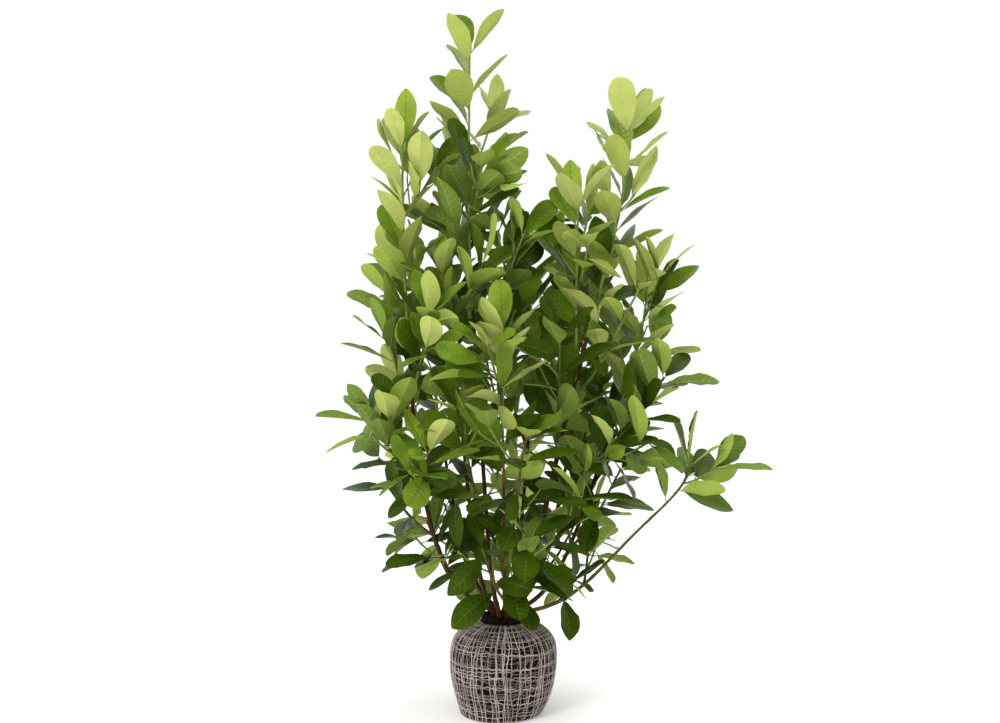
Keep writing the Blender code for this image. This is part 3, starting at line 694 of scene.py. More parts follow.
def grow_twigs(mass, stems, space):
    """The leading twig of a mass and those side twigs that are clear of everything else."""
    rng = random.Random(mass.seed)
    for effort in range(TRIES):
        sway = in_plan(rng.uniform(0, 360), SWAY * effort, 0)
        lead = leading_twig(mass, stems, sway)
        if space.is_clear(twig_thing(mass, lead, TWIG_ROOM), ignored=(mass.stem,)):
            if space.is_clear(twig_thing(mass, lead)):
                break
    else:
        raise RuntimeError("no way for the leading twig of " + mass.name)
    twigs = [lead]
    turn = rng.uniform(0, 2 * math.pi)
    for number in range(mass.twigs):
        for _ in range(TRIES):
            lowest = max(mass.bare + BARE_ABOVE_FOOT, LOWEST_SIDE_TWIG)
            share = mix(lowest, HIGHEST_SIDE_TWIG, (number + rng.random()) / mass.twigs)
            twig = side_twig(lead, share, turn, rng)
            turn += GOLDEN_ANGLE
            if space.is_clear(twig_thing(mass, twig, TWIG_ROOM), ignored=(mass.name,)):
                twigs.append(twig)
                break
    for twig in twigs:
        space.add(twig_thing(mass, twig))
    return twigs


def grow_leaves(mass, twigs, space):
    """The shoots of a mass: each of its twigs with the leaves that fit along it."""
    rng = random.Random(mass.seed * LEAF_SEED + 1)
    shoots = []
    for number, twig in enumerate(twigs):
        bare = mass.bare if number == 0 else SIDE_TWIG_BARE
        leaves = []
        for share, turn, size in leaf_places(twig, bare, rng):
            for effort in range(TRIES):
                leaf = set_leaf(twig, share, turn, size, Pose(mass.lift), rng, effort)
                if space.is_clear(leaf_thing(mass, leaf, CLEARANCE)):
                    leaves.append((share, leaf))
                    space.add(leaf_thing(mass, leaf))
                    break
        shoots.append(Shoot(mass, twig, "side" if number else "leading", leaves))
    return shoots


def keeps_within(thing, reach, top, rng):
    """Whether a fine thing stays within a reach of the plant's axis, and thins out up to a top."""
    if max(math.hypot(corner.x, corner.y) for corner in thing.corners) > reach:
        return False
    if max(corner.z for corner in thing.corners) > CAD_BOX[1].z:
        return False
    return thing.centre.z < mix(FINE_THINS_FROM, top, rng.random())


def reach_of(shoots):
    """How far a mass's fine growth may reach from the plant's axis.

    It is a share of its first leaves' reach: less of it low down, more where the mass goes on from
    a stem's tip, and all of it where that is a leader.
    """
    mass = shoots[0].mass
    low, high = FINE_REACH_HEIGHTS
    kept = mix(*FINE_REACH, min(max((mass.height - low) / (high - low), 0), 1))
    if mass.at == 1:
        kept = 1.0 if mass.name.startswith("leader") else FINE_TIP_REACH
    tips = [leaf.matrix @ Vector((leaf.length, 0, 0)) for shoot in shoots for _, leaf in shoot.leaves]
    return kept * max(math.hypot(tip.x, tip.y) for tip in tips)


def grow_fine_twigs(shoots, fits, rng, space):
    """Finer twigs on a mass's twigs where there is room, as shoots that have no leaves yet."""
    mass = shoots[0].mass
    fine = []
    for shoot in shoots:
        turn = rng.uniform(0, 2 * math.pi)
        for _ in range(round(length_of(shoot.twig) * FINE_TWIGS_PER_METRE * SPARSE.get(mass.name, 1))):
            for _ in range(FINE_TRIES):
                share = rng.uniform(*FINE_TWIG_SHARES)
                length = rng.uniform(*FINE_TWIG_LENGTH)
                twig = side_twig(shoot.twig, share, turn, rng, length, FINE_TWIG_RADII)
                turn += GOLDEN_ANGLE
                thing = Thing("fine twig", limb_solid(twig, TWIG_SIDES, TWIG_ROOM / 2))
                if fits(thing, ignored=(mass.name,)):
                    space.add(twig_thing(mass, twig))
                    fine.append(Shoot(mass, twig, "fine", []))
                    break
    return fine


def grow_fine_leaves(shoot, fits, rng, space):
    """More leaves on a shoot, from its tip down to its bare foot, where there is room."""
    mass, twig = shoot.mass, shoot.twig
    length = length_of(twig)
    bare = SIDE_TWIG_BARE if shoot.kind == "fine" else mass.bare
    step = INTERNODE * FINE_INTERNODE / SPARSE.get(mass.name, 1)
    position = length - TIP_LEAF_FROM_END
    turn = rng.uniform(0, 2 * math.pi)
    while position > bare * length:
        place = position / length
        below = max(FINE_HANGS_BELOW - along(twig, place)[0].z, 0)
        hang = FINE_HANG * min(below * HANG_PER_METRE, 1)
        pose = Pose(mass.lift + FINE_LIFT, FINE_CLOSER, hang, FINE_STEEPER, FINE_ROLL)
        for effort in range(FINE_TRIES):
            leaf = set_leaf(twig, place, turn, rng.uniform(*FINE_LEAF_SIZES), pose, rng, effort)
            thing = leaf_thing(mass, leaf)
            if fits(thing):
                shoot.leaves.append((place, leaf))
                space.add(thing)
                break
        position -= step * rng.uniform(*INTERNODE_SPREAD)
        turn += GOLDEN_ANGLE


def grow_finer(shoots, space):
    """A mass's shoots with more leaves on them, and its finer twigs with theirs."""
    mass = shoots[0].mass
    rng = random.Random(mass.seed * FINE_LEAF_SEED)
    reach = reach_of(shoots)
    top = LEADER_TOP if mass.name.startswith("leader") else FINE_TOP

    def fits(thing, ignored=()):
        return keeps_within(thing, reach, top, rng) and space.is_clear(thing, ignored)

    fine = grow_fine_twigs(shoots, fits, rng, space)
    for shoot in shoots + fine:
        grow_fine_leaves(shoot, fits, rng, space)
    return shoots + [shoot for shoot in fine if shoot.leaves]


@functools.lru_cache(maxsize=1)
def growth():
    """The stems by name, and every shoot with its twig and leaves. It is grown once a session."""
    space = Space()
    space.add(Thing("ball", turned(ball_profile(), BALL_SIDES, False)))
    space.add(Thing("ball", turned(collar_profile(), COLLAR_SIDES, True)))
    stems = {stem.name: grow_stem(stem) for stem in STEMS}
    for name, stem in stems.items():
        space.add(Thing(name, limb_solid(stem, STEM_SIDES)))
    twigs = {mass.name: grow_twigs(mass, stems, space) for mass in MASSES}
    masses = [grow_leaves(mass, twigs[mass.name], space) for mass in MASSES]
    return stems, [shoot for shoots in masses for shoot in grow_finer(shoots, space)]


def grid_faces(rows, columns, ring=False):
    """Quads between neighbouring rows of points, and the row and the column that each starts from.

    Each row is closed round, and a ring's last row joins its first.
    """
    i, k = np.meshgrid(np.arange(rows if ring else rows - 1), np.arange(columns), indexing="ij")
    j, m = (i + 1) % rows, (k + 1) % columns
    quads = np.stack([i * columns + k, i * columns + m, j * columns + m, j * columns + k], axis=-1)
    return quads.reshape(-1, 4), i, k


def end_fans(rows, columns):
    """Triangles from the first row and from the last to the two points that follow all rows."""
    k = np.arange(columns)
    m = (k + 1) % columns
    end, last = np.full(columns, rows * columns), (rows - 1) * columns
    return np.vstack([np.stack([end, m, k], axis=-1), np.stack([end + 1, last + k, last + m], axis=-1)])


def round_uv(i, k, sides, far):
    """The UV of a tube's quads: the share round it, and the distance along it."""
    u = np.stack([k, k + 1, k + 1, k], axis=-1) / sides
    v = np.stack([far[i], far[i], far[i + 1], far[i + 1]], axis=-1)
    return np.stack([u, v], axis=-1).reshape(-1, 4, 2)


def plain_sheet(points, quads, quad_uv, tris=np.zeros((0, 3), int), tri_uv=np.zeros((0, 3, 2))):
    """A sheet that has one material all over."""
    return Sheet(points, quads, tris, quad_uv, tri_uv, np.zeros(len(quads), int), np.zeros(len(tris), int))


def finished_mesh(name, sheets, materials):
    """An object at the origin from one or more sheets of quads and triangles, with a UV map."""
    points, _, _, quad_uv, tri_uv, quad_slots, tri_slots = (np.concatenate(part) for part in zip(*sheets))
    starts = np.cumsum([0] + [len(sheet.points) for sheet in sheets[:-1]])
    quads = np.concatenate([sheet.quads + start for sheet, start in zip(sheets, starts)])
    tris = np.concatenate([sheet.tris + start for sheet, start in zip(sheets, starts)])
    corners = np.concatenate([quads.ravel(), tris.ravel()])
    loop_starts = np.concatenate([np.arange(len(quads)) * 4, len(quads) * 4 + np.arange(len(tris)) * 3])
    slots = np.concatenate([quad_slots, tri_slots])
    uv = np.concatenate([quad_uv.reshape(-1, 2), tri_uv.reshape(-1, 2)])
    mesh = bpy.data.meshes.new(name)
    mesh.vertices.add(len(points))
    mesh.vertices.foreach_set("co", points.astype(np.float32).ravel())
    mesh.loops.add(len(corners))
    mesh.loops.foreach_set("vertex_index", corners.astype(np.int32))
    mesh.polygons.add(len(loop_starts))
    mesh.polygons.foreach_set("loop_start", loop_starts.astype(np.int32))
    mesh.polygons.foreach_set("material_index", slots.astype(np.int32))
    mesh.update(calc_edges=True)
    mesh.uv_layers.new(name=UV_MAP).data.foreach_set("uv", uv.astype(np.float32).ravel())
    mesh.shade_smooth()
    mesh.set_sharp_from_angle(angle=SHARP_ANGLE)
    mesh.validate()
    for material in materials:
        mesh.materials.append(material)
    made = bpy.data.objects.new(name, mesh)
    bpy.context.scene.collection.objects.link(made)
    return made


def curve_through(points, radii, spacing):
    """A path's points and radii at an even spacing, on the smooth curve that passes through its points.

    Between its points b and c, with a before and d after them, it is the Catmull-Rom cubic in t.
    """
    count = len(points)
    length = np.linalg.norm(np.diff(points, axis=0), axis=1).sum()
    s = np.linspace(0, count - 1, max(4, int(math.ceil(length / spacing)) + 1))
    i = np.minimum(s.astype(int), count - 2)
    t = (s - i)[:, None]
    ends = np.vstack([2 * points[:1] - points[1:2], points, 2 * points[-1:] - points[-2:-1]])
    a, b, c, d = ends[i], ends[i + 1], ends[i + 2], ends[i + 3]
    curve = b + (c - a) * t / 2 + (2 * a - 5 * b + 4 * c - d) * t**2 / 2 + (3 * b - a - 3 * c + d) * t**3 / 2
    return curve, np.interp(s, np.arange(count), radii)


def distances(path):
    """How far along the path each of its points lies."""
    return np.concatenate([[0.0], np.cumsum(np.linalg.norm(np.diff(path, axis=0), axis=1))])


def swept(path, radii, sides, across=None, ring=False):
    """A round tube: at each point of a path a circle of its radius, square to the path.

    The radii are one for each point, or a grid of points by sides. Across is a direction that the
    path never runs along. A ring's ends join, and any other tube ends in a point at the centre of
    each end.
    """
    count = len(path)
    radii = np.broadcast_to(np.asarray(radii).reshape(count, -1), (count, sides))
    steps = np.roll(path, -1, axis=0) - np.roll(path, 1, axis=0) if ring else np.gradient(path, axis=0)
    tangents = steps / np.linalg.norm(steps, axis=1, keepdims=True)
    if across is None:
        across = np.eye(3)[np.argmin(np.abs(tangents).mean(axis=0))]
    first = np.cross(tangents, np.broadcast_to(across, tangents.shape))
    first /= np.linalg.norm(first, axis=1, keepdims=True)
    second = np.cross(tangents, first)
    angle = np.arange(sides) * 2 * np.pi / sides
    spoke = first[:, None] * np.cos(angle)[:, None] + second[:, None] * np.sin(angle)[:, None]
    points = (path[:, None] + spoke * radii[..., None]).reshape(-1, 3)
    quads, i, k = grid_faces(count, sides, ring)
    far = distances(np.vstack([path, path[:1]]) if ring else path)
    quad_uv = round_uv(i, k, sides, far)
    if ring:
        return plain_sheet(points, quads, quad_uv)
    k = np.arange(sides)
    middle = (k + 0.5) / sides
    start_u = np.stack([middle, (k + 1) / sides, k / sides], axis=-1)
    end_u = np.stack([middle, k / sides, (k + 1) / sides], axis=-1)
    heights = np.repeat([[far[0]], [far[-1]]], sides, axis=0)
    tri_uv = np.stack([np.vstack([start_u, end_u]), np.broadcast_to(heights, (2 * sides, 3))], axis=-1)
    points = np.vstack([points, path[:1], path[-1:]])
    return plain_sheet(points, quads, quad_uv, end_fans(count, sides), tri_uv)


def waves(values, count, longest, rng):
    """A smooth unevenness from -1 to 1: a sum of sines of ever shorter wavelength, with random phases."""
    total = np.zeros_like(np.asarray(values, float))
    weight = 0.0
    for n in range(count):
        total += np.sin(2 * np.pi * (values / longest * 1.7**n + rng.random())) / 1.4**n
        weight += 1 / 1.4**n
    return total / weight


def bark_tube(limb, sides, spacing, ridge, knots, rng, first=None):
    """A limb's round tube with bark relief.

    Its radius is the limb's own, times three and five low ridges that wander round it as it rises, a
    little unevenness along it, and a swelling at each of the given knots, which are shares of its
    length. First is a point put before the limb's own, inside what it grows from.
    """
    points, radii = np.array([tuple(point) for point in limb.points]), np.array(limb.radii)
    if first is not None:
        points = np.vstack([[tuple(first)], points])
        radii = np.concatenate([[radii[0] * ROOT_GIRTH], radii])
    path, radius = curve_through(points, radii, spacing)
    far = distances(path)
    around = np.arange(sides) * 2 * np.pi / sides
    drift = waves(far, 3, 0.09, rng)[:, None]
    folds = np.sin(3 * around + 2.2 * drift + rng.uniform(0, 6)) + 0.6 * np.sin(5 * around - 3.1 * drift)
    relief = 1 + ridge * folds + ridge * waves(far, 4, 0.035, rng)[:, None]
    for knot in knots:
        relief += KNOT_SWELLING * np.exp(-((far - knot * far[-1]) / KNOT_LENGTH) ** 2)[:, None]
    return swept(path, radius[:, None] * relief, sides)


def blades(leaves, rng, looks):
    """All leaves of one tint as one sheet, worked out as whole arrays.

    A leaf is a closed lens carried along its midrib from its root to its tip. Its half width follows
    b to the power a, times 1 - b squared to the power d, where b runs from 0 at the blade's foot to 1
    at its tip, and a and d differ from leaf to leaf. Each half rises from the midrib by the fold
    and rounds over towards its margin, which waves. The midrib sinks on the upper side and stands
    out below, and the whole leaf arches by its bend and turns a little about its own length. Its
    stalk is about round, and passes over into the blade at the blade's foot.
    """
    count = len(leaves)
    matrices = np.array([[tuple(row) for row in leaf.matrix] for leaf in leaves])
    length = np.array([leaf.length for leaf in leaves])[:, None, None]
    bend = np.array([leaf.bend for leaf in leaves])[:, None, None]

    def each(low, high):
        return rng.uniform(low, high, (count, 1, 1))

    ends = (1 - np.cos(np.linspace(0, np.pi, BLADE_ROWS + 2))) / 2
    u = np.concatenate([[0.0, PETIOLE_SHARE * 0.85], PETIOLE_SHARE + (1 - PETIOLE_SHARE) * ends[1:-1]])
    u = u[None, :, None]
    v = np.array(SECTION)[None, None, :]
    upper = np.arange(len(SECTION)) <= UPPER_SPANS
    b = np.clip((u - PETIOLE_SHARE) / (1 - PETIOLE_SHARE), 0, 1)
    shape = b ** each(*BLADE_FOOT_POWER) * np.clip(1 - b**2, 0, 1) ** each(*BLADE_TIP_POWER)
    shape = shape / shape.max(axis=1, keepdims=True)
    half = length * LEAF_WIDTH / 2 * looks.width * each(*BLADE_WIDTH_SPREAD) * shape
    stalk = np.clip((PETIOLE_SHARE + 0.04 - u) / 0.05, 0, 1)
    half = np.maximum(half, PETIOLE_RADIUS * (1 - 0.3 * u / PETIOLE_SHARE) * (u < PETIOLE_SHARE + 0.03))
    y = half * v
    aside = np.abs(v)
    fold = looks.fold * each(*FOLD_SPREAD) * (1 - stalk)
    mid = fold * half * aside**2 / (aside + FOLD_ROUNDNESS) * (1 + FOLD_ROUNDNESS)
    phase = each(0, 2 * np.pi) + np.where(v > 0, each(0, 2 * np.pi), 0)
    wave = looks.wave * each(*WAVE_SPREAD) * np.sin(2 * np.pi * each(*WAVES_ALONG) * b + phase)
    mid = mid + wave * aside**2 * np.sin(np.pi * b)
    lens = np.sqrt(np.clip(1 - v**2, 0, 1))
    rib = np.where(aside < 0.01, 1.0, 0.0)
    above = looks.thickness / 2 * lens - rib * RIB_SINKS * (1 - u)
    below = looks.thickness / 2 * lens + rib * RIB_STANDS_OUT * (1 - 0.7 * u)
    above = above + (PETIOLE_RADIUS * lens - above) * stalk
    below = below + (PETIOLE_RADIUS * lens - below) * stalk
    z = mid + np.where(upper, above, -below)
    twist = each(-BLADE_TWIST, BLADE_TWIST) * u**1.5
    y, z = y * np.cos(twist) - z * np.sin(twist), y * np.sin(twist) + z * np.cos(twist)
    z = z - bend * length * u**2
    y = y + each(-BLADE_SWERVE, BLADE_SWERVE) * length * u**2 * (1 - u) * 4
    x = np.broadcast_to(u * length, y.shape)
    tips = np.zeros((count, 2, 3))
    tips[:, 1, 0] = length[:, 0, 0]
    tips[:, 1, 2] = -(bend * length)[:, 0, 0]
    local = np.concatenate([np.stack([x, y, z], axis=-1).reshape(count, -1, 3), tips], axis=1)
    points = np.einsum("nij,npj->npi", matrices[:, :3, :3], local) + matrices[:, None, :3, 3]
    return leaf_faces(points, u.ravel(), v.ravel())


def leaf_faces(points, u, v):
    """Quads round each leaf's lens from row to row, and triangles to its root and its tip.

    The quads of every other quarter start at another corner, so that the two skins split into
    triangles along the same diagonals and don't cross. Upper faces take slot 0, lower ones slot 1.
    """
    count, per_leaf = points.shape[:2]
    rows, columns = len(u), len(v)
    quads, _, k = grid_faces(rows, columns)
    mirrored = k.ravel() // (UPPER_SPANS // 2) % 2 == 1
    quads[mirrored] = np.roll(quads[mirrored], -1, axis=-1)
    tris = end_fans(rows, columns)
    along_leaf = np.append(np.repeat(u, columns), (0, 1))
    across_leaf = np.append(np.tile(v / 2 + 0.5, rows), (0.5, 0.5))
    uv = np.stack([along_leaf, across_leaf], axis=-1)
    slots = (np.arange(columns) >= UPPER_SPANS).astype(int)
    starts = (np.arange(count) * per_leaf)[:, None, None]
    return Sheet(
        points.reshape(-1, 3),
        (quads[None] + starts).reshape(-1, 4),
        (tris[None] + starts).reshape(-1, 3),
        np.tile(uv[quads], (count, 1, 1)),
        np.tile(uv[tris], (count, 1, 1)),
        np.tile(slots, (rows - 1) * count),
        np.tile(slots, 2 * count),
    )


def turned_sheet(grid):
    """A closed sheet from rings of points, lowest first, with a point of its own at each end."""
    rows, columns = grid.shape[:2]
    quads, _, _ = grid_faces(rows, columns)
    tris = end_fans(rows, columns)
    points = np.vstack([grid.reshape(-1, 3), grid[0].mean(axis=0), grid[-1].mean(axis=0)])
    uv = np.stack([np.arctan2(points[:, 1], points[:, 0]) / (2 * np.pi) + 0.5, points[:, 2]], axis=-1)
    return plain_sheet(points, quads, uv[quads], tris, uv[tris])


def ball_surface(turn, level, sunk=0.0):
    """Points on the ball's outside: its outline at a level, turned about Z, less a sinking and its lumps.

    Level runs from 0 at the centre of the underside to 1 at the centre of the top, by distance along
    the outline. The lumps are sums of sines in turn and height, and they also draw the foot up and
    the shoulder down. Low down on one side the ball bulges.
    """
    outline = np.array([(0.0, 0.0), *ball_profile(), (0.0, SOIL_HEIGHT)])
    far = distances(outline)
    radius = np.interp(level, far / far[-1], outline[:, 0])
    height = np.interp(level, far / far[-1], outline[:, 1])
    swell = np.sin(3 * turn + 1.1 + 14 * height) * np.sin(2 * turn + 0.4 - 21 * height)
    swell = swell + 0.5 * np.sin(7 * turn + 2.0 + 33 * height)
    inward = sunk + BALL_LUMPS * (1 - swell) / 2
    edge = np.clip(radius / BALL_FOOT_RADIUS, 0, 1)
    radius = radius - inward * edge
    rise = np.where(height < BALL_WIDEST_AT, FOOT_DRAWN_UP, -SHOULDER_DRAWN_DOWN) * (height > 0.001)
    height = np.clip(height + inward * rise, 0.0, None)
    bulge = FOOT_BULGE * np.clip(1 - height / FOOT_BULGE_HEIGHT, 0, 1) ** 2 * edge
    radius = radius + bulge * np.clip(np.cos(turn - FOOT_BULGE_TURN), 0, 1)
    return np.stack([radius * np.cos(turn), radius * np.sin(turn), height], axis=-1)


def string_tube(layer, turn, level, rng, thickest, uneven, across, ring=False):
    """One string's tube, laid over the ball at a turn and a level for each point of its path.

    Its radius is up to thickest times the layer's, with its own unevenness. It never dips into the
    floor.
    """
    path = ball_surface(turn, level, layer.sunk + rng.uniform(*STRING_LIE))
    path[:, 2] = np.maximum(path[:, 2], layer.radius * STRING_ROOM)
    thickness = layer.radius * rng.uniform(THINNEST_STRING, thickest) * (1 + 0.2 * waves(*uneven, rng))
    return swept(path, thickness, STRING_SIDES, across, ring)


def upright_strings(layer, rng):
    """Tubes from the ball's foot to its neck.

    Each keeps to its bearing plus a slow wander of up to its spacing times the looseness. The last
    ones slant right across the others.
    """
    tubes = []
    level = np.linspace(NET_FOOT, NET_NECK, UPRIGHT_STEPS)
    for i in range(layer.uprights + layer.slanting):
        slanting = i >= layer.uprights
        lean = rng.uniform(6, 16) * rng.choice((-1, 1)) if slanting else rng.uniform(-0.9, 0.9)
        wander = (waves(level, 3, 0.6, rng) + 0.12 * waves(level, 2, 0.06, rng)) * layer.looseness
        place = i + rng.uniform(-0.6, 0.6) + wander + lean * (level - rng.uniform(0.3, 0.8))
        turn = 2 * np.pi / layer.uprights * place
        middle = turn.mean()
        across = (-math.sin(middle), math.cos(middle), 0)
        tube = string_tube(layer, turn, level, rng, thickest=1.2, uneven=(level, 5, 0.1), across=across)
        tubes.append(tube)
    return tubes


def level_strings(layer, rng):
    """Rings round the ball. Each keeps to its level plus a tilt, a slow wander and a fine zigzag."""
    tubes = []
    turn = np.arange(LEVEL_STEPS) * 2 * np.pi / LEVEL_STEPS
    share = turn / (2 * np.pi)
    for j in range(layer.levels):
        base = mix(NET_FOOT + 0.02, NET_NECK - 0.015, (j + 0.5 + rng.uniform(-0.4, 0.4)) / layer.levels)
        tilt = 0.02 * layer.looseness * np.sin(turn + rng.uniform(0, 6))
        zigzag = 0.006 * waves(share, 3, 1 / rng.integers(20, 38), rng)
        sway = tilt + 0.012 * layer.looseness * waves(share, 1, 1 / rng.integers(2, 6), rng) + zigzag
        level = np.clip(base + sway, NET_FOOT, NET_NECK)
        uneven = (share, 3, 1 / 12)
        tube = string_tube(layer, turn, level, rng, thickest=1.1, uneven=uneven, across=(0, 0, 1), ring=True)
        tubes.append(tube)
    return tubes


def rolled_cloth():
    """The collar's surface: a ring whose round section swells, shrinks and creases as it goes round.

    A low wave in the ring's radius and height makes it lie unevenly, and short waves across the
    section are the creases of gathered cloth. On the right the cloth is knotted.
    """
    turn = np.arange(ROLL_STEPS) * 2 * np.pi / ROLL_STEPS
    section = np.arange(ROLL_SIDES) * 2 * np.pi / ROLL_SIDES
    turn, section = np.meshgrid(turn, section, indexing="ij")
    crease = np.sin(17 * turn + 2.0 * np.sin(3 * turn) + 1.5 * section) * 0.09
    crease = crease + np.sin(31 * turn - 2.5 * section + 1.0) * 0.05
    from_knot = np.mod(turn + math.pi - CLOTH_KNOT_TURN, 2 * np.pi) - math.pi
    knot = np.exp(-(from_knot / CLOTH_KNOT_WIDTH) ** 2)
    fat = 0.80 + 0.12 * np.sin(2 * turn + 0.7) + crease + CLOTH_KNOT_SWELLING * knot
    centre = COLLAR_RADIUS + 0.0014 * np.sin(3 * turn + 0.5)
    radius = centre + COLLAR_THICKNESS / 2 * fat * np.cos(section)
    lie = SOIL_HEIGHT + GAP + COLLAR_HEIGHT / 2 * fat
    height = lie + COLLAR_HEIGHT / 2 * fat * np.sin(section)
    height = height + CLOTH_KNOT_HEIGHT * knot * (1 + np.sin(section)) / 2
    points = np.stack([radius * np.cos(turn), radius * np.sin(turn), height], axis=-1).reshape(-1, 3)
    quads, i, k = grid_faces(ROLL_STEPS, ROLL_SIDES, ring=True)
    far = np.arange(ROLL_STEPS + 1) * 2 * np.pi * COLLAR_RADIUS / ROLL_STEPS
    return plain_sheet(points, quads[:, FLIPPED], round_uv(i, k, ROLL_SIDES, far)[:, FLIPPED])


def node(tree, kind, inputs=(), output=0, **settings):
    """Adds a node with its settings and links, and returns one of its outputs.

    Inputs are given in the node's own order, or by name. Each is a value, or a socket to link.
    """
    made = tree.nodes.new("ShaderNode" + kind)
    for name, value in settings.items():
        setattr(made, name, value)
    for key, value in inputs.items() if isinstance(inputs, dict) else enumerate(inputs):
        if isinstance(value, bpy.types.NodeSocket):
            tree.links.new(value, made.inputs[key])
        else:
            made.inputs[key].default_value = value
    return made.outputs[output]


def new_material(name, roughness, ior, **shader_values):
    """A material whose shader has constant values, and the node helper for its tree."""
    material = bpy.data.materials.new(name)
    material.use_nodes = True
    shader = material.node_tree.nodes["Principled BSDF"]
    for key, value in {"Roughness": roughness, "IOR": ior, **shader_values}.items():
        shader.inputs[key.replace("_", " ")].default_value = value
    return material, functools.partial(node, material.node_tree)


def finished_material(material, colour, relief=None, strength=0.0, depth=0.0):
    """Links a colour to a material's shader and, where there is one, a relief of a depth in metres."""
    tree = material.node_tree
    shader = tree.nodes["Principled BSDF"]
    tree.links.new(colour, shader.inputs["Base Color"])
    if relief is not None:
        bump = node(tree, "Bump", {"Height": relief, "Strength": strength, "Distance": depth})
        tree.links.new(bump, shader.inputs["Normal"])
    return material


def shaded(colour, share):
    """A colour times a share, which is above 1 for a lighter one."""
    return (*(min(channel * share, 1.0) for channel in colour[:3]), 1.0)


def leaf_veins(add, pairs):
    """Bands that are 1 on a leaf's midrib and on its side veins, worked out from its UV map.

    The side veins lie a vein spacing apart, measured by the share along the leaf less a slant that
    grows with the distance from the midrib, and fade towards the margin.
    """
    uv = add("UVMap", uv_map=UV_MAP)
    along_leaf = add("SeparateXYZ", [uv], "X")
    across = add("SeparateXYZ", [uv], "Y")
    aside = add("Math", [add("Math", [across, 2.0, -1.0], operation="MULTIPLY_ADD")], operation="ABSOLUTE")
    midrib = add("MapRange", [aside, 0.015, 0.06, 1.0, 0.0])
    spread = add("Math", [aside, 1.3], operation="POWER")
    slant = add("Math", [spread, VEIN_SLANT], operation="MULTIPLY")
    lengthways = add("Math", [along_leaf, slant], operation="SUBTRACT")
    phase = add("Math", [lengthways, pairs], operation="MULTIPLY")
    part = add("Math", [phase], operation="FRACT")
    apart = add("Math", [add("Math", [part, 0.5], operation="SUBTRACT")], operation="ABSOLUTE")
    band = add("MapRange", [apart, 0.06, 0.22, 1.0, 0.0])
    inwards = add("Math", [1.0, aside], operation="SUBTRACT")
    return midrib, add("Math", [band, inwards], operation="MULTIPLY")


def veined_colour(add, mottle, darker, lighter, vein_colour, *veins):
    """A colour between a darker and a lighter one, under veins that each show by a share."""
    body = add("Mix", {"Factor": mottle, "A": darker, "B": lighter}, "Result", data_type="RGBA")
    for vein, share in veins:
        cover = add("Math", [vein, share], operation="MULTIPLY")
        body = add("Mix", {"Factor": cover, "A": body, "B": vein_colour}, "Result", data_type="RGBA")
    return body


def glossy_leaf(name, colour, looks):
    """Laurel leaf, upper side: leathery, under a waxy cuticle.

    To the eye a deep green with a soft shine, a paler midrib and sunken side veins that leave the
    blade slightly quilted. The mottle is 45 mm wide, and the grain is drawn at 2.4 mm, coarser than
    the real one, so that it shows.
    """
    sheen = from_hex(LEAF_SHEEN)
    material, add = new_material(name, roughness=0.31, ior=1.45, Specular_IOR_Level=0.17, Specular_Tint=sheen)
    midrib, side = leaf_veins(add, looks.vein_pairs)
    place = add("TexCoord", output="Object")
    mottle = add("TexNoise", {"Vector": place, "Scale": 22.0, "Detail": 3.0})
    mottle = add("MapRange", [mottle, 0.3, 0.7, 0.0, 1.0])
    darker, lighter = shaded(colour, 0.72), shaded(colour, 1.22)
    body = veined_colour(add, mottle, darker, lighter, looks.upper_vein, (side, 0.06), (midrib, 0.27))
    grain = add("TexNoise", {"Vector": place, "Scale": 420.0, "Detail": 2.0})
    sunken = add("Math", [midrib, -1.0], operation="MULTIPLY")
    quilted = add("Math", [side, -0.6, sunken], operation="MULTIPLY_ADD")
    height = add("Math", [grain, 0.12, quilted], operation="MULTIPLY_ADD")
    return finished_material(material, body, height, strength=0.8, depth=0.002)


def matte_leaf(name, colour, looks):
    """Laurel leaf, lower side: no wax. To the eye a pale dull yellow-green with a raised midrib.

    The mottle is 33 mm wide.
    """
    sheen = from_hex(LEAF_SHEEN)
    material, add = new_material(name, roughness=0.65, ior=1.42, Specular_IOR_Level=0.15, Specular_Tint=sheen)
    midrib, side = leaf_veins(add, looks.vein_pairs)
    mottle = add("TexNoise", {"Vector": add("TexCoord", output="Object"), "Scale": 30.0, "Detail": 3.0})
    darker, lighter = shaded(colour, 0.84), shaded(colour, 1.12)
    body = veined_colour(add, mottle, darker, lighter, looks.lower_vein, (side, 0.18), (midrib, 0.4))
    raised = add("Math", [side, 0.5, midrib], operation="MULTIPLY_ADD")
    return finished_material(material, body, raised, strength=0.6, depth=0.0012)


def laurel_bark(name, colour, streak_colour, streaks):
    """Laurel bark: thin and smooth. To the eye red-brown or green, with paler lengthways streaks.

    Streaks is how much of their colour shows, and young shoots have hardly any. A streak is a ninth
    of the limb's girth wide and 18 mm long, the patches are 26 mm wide and the lenticels 4 mm apart.
    """
    material, add = new_material(name, roughness=0.62, ior=1.45, Specular_IOR_Level=0.2)
    stretched = add("Mapping", {"Vector": add("UVMap", uv_map=UV_MAP), "Scale": (9.0, 55.0, 1.0)})
    grain = add("TexNoise", {"Vector": stretched, "Scale": 1.0, "Detail": 5.0})
    lengthways = add("MapRange", [grain, 0.48, 0.68, 0.0, streaks])
    place = add("TexCoord", output="Object")
    patches = add("TexNoise", {"Vector": place, "Scale": 38.0, "Detail": 3.0})
    darker, lighter = shaded(colour, 0.55), shaded(colour, 1.35)
    body = veined_colour(add, patches, darker, lighter, streak_colour, (lengthways, 1.0))
    dots = add("TexVoronoi", {"Vector": place, "Scale": 260.0})
    lenticels = add("MapRange", [dots, 0.1, 0.3, 1.0, 0.0])
    height = add("Math", [lenticels, 0.5, grain], operation="MULTIPLY_ADD")
    return finished_material(material, body, height, strength=0.6, depth=0.0009)


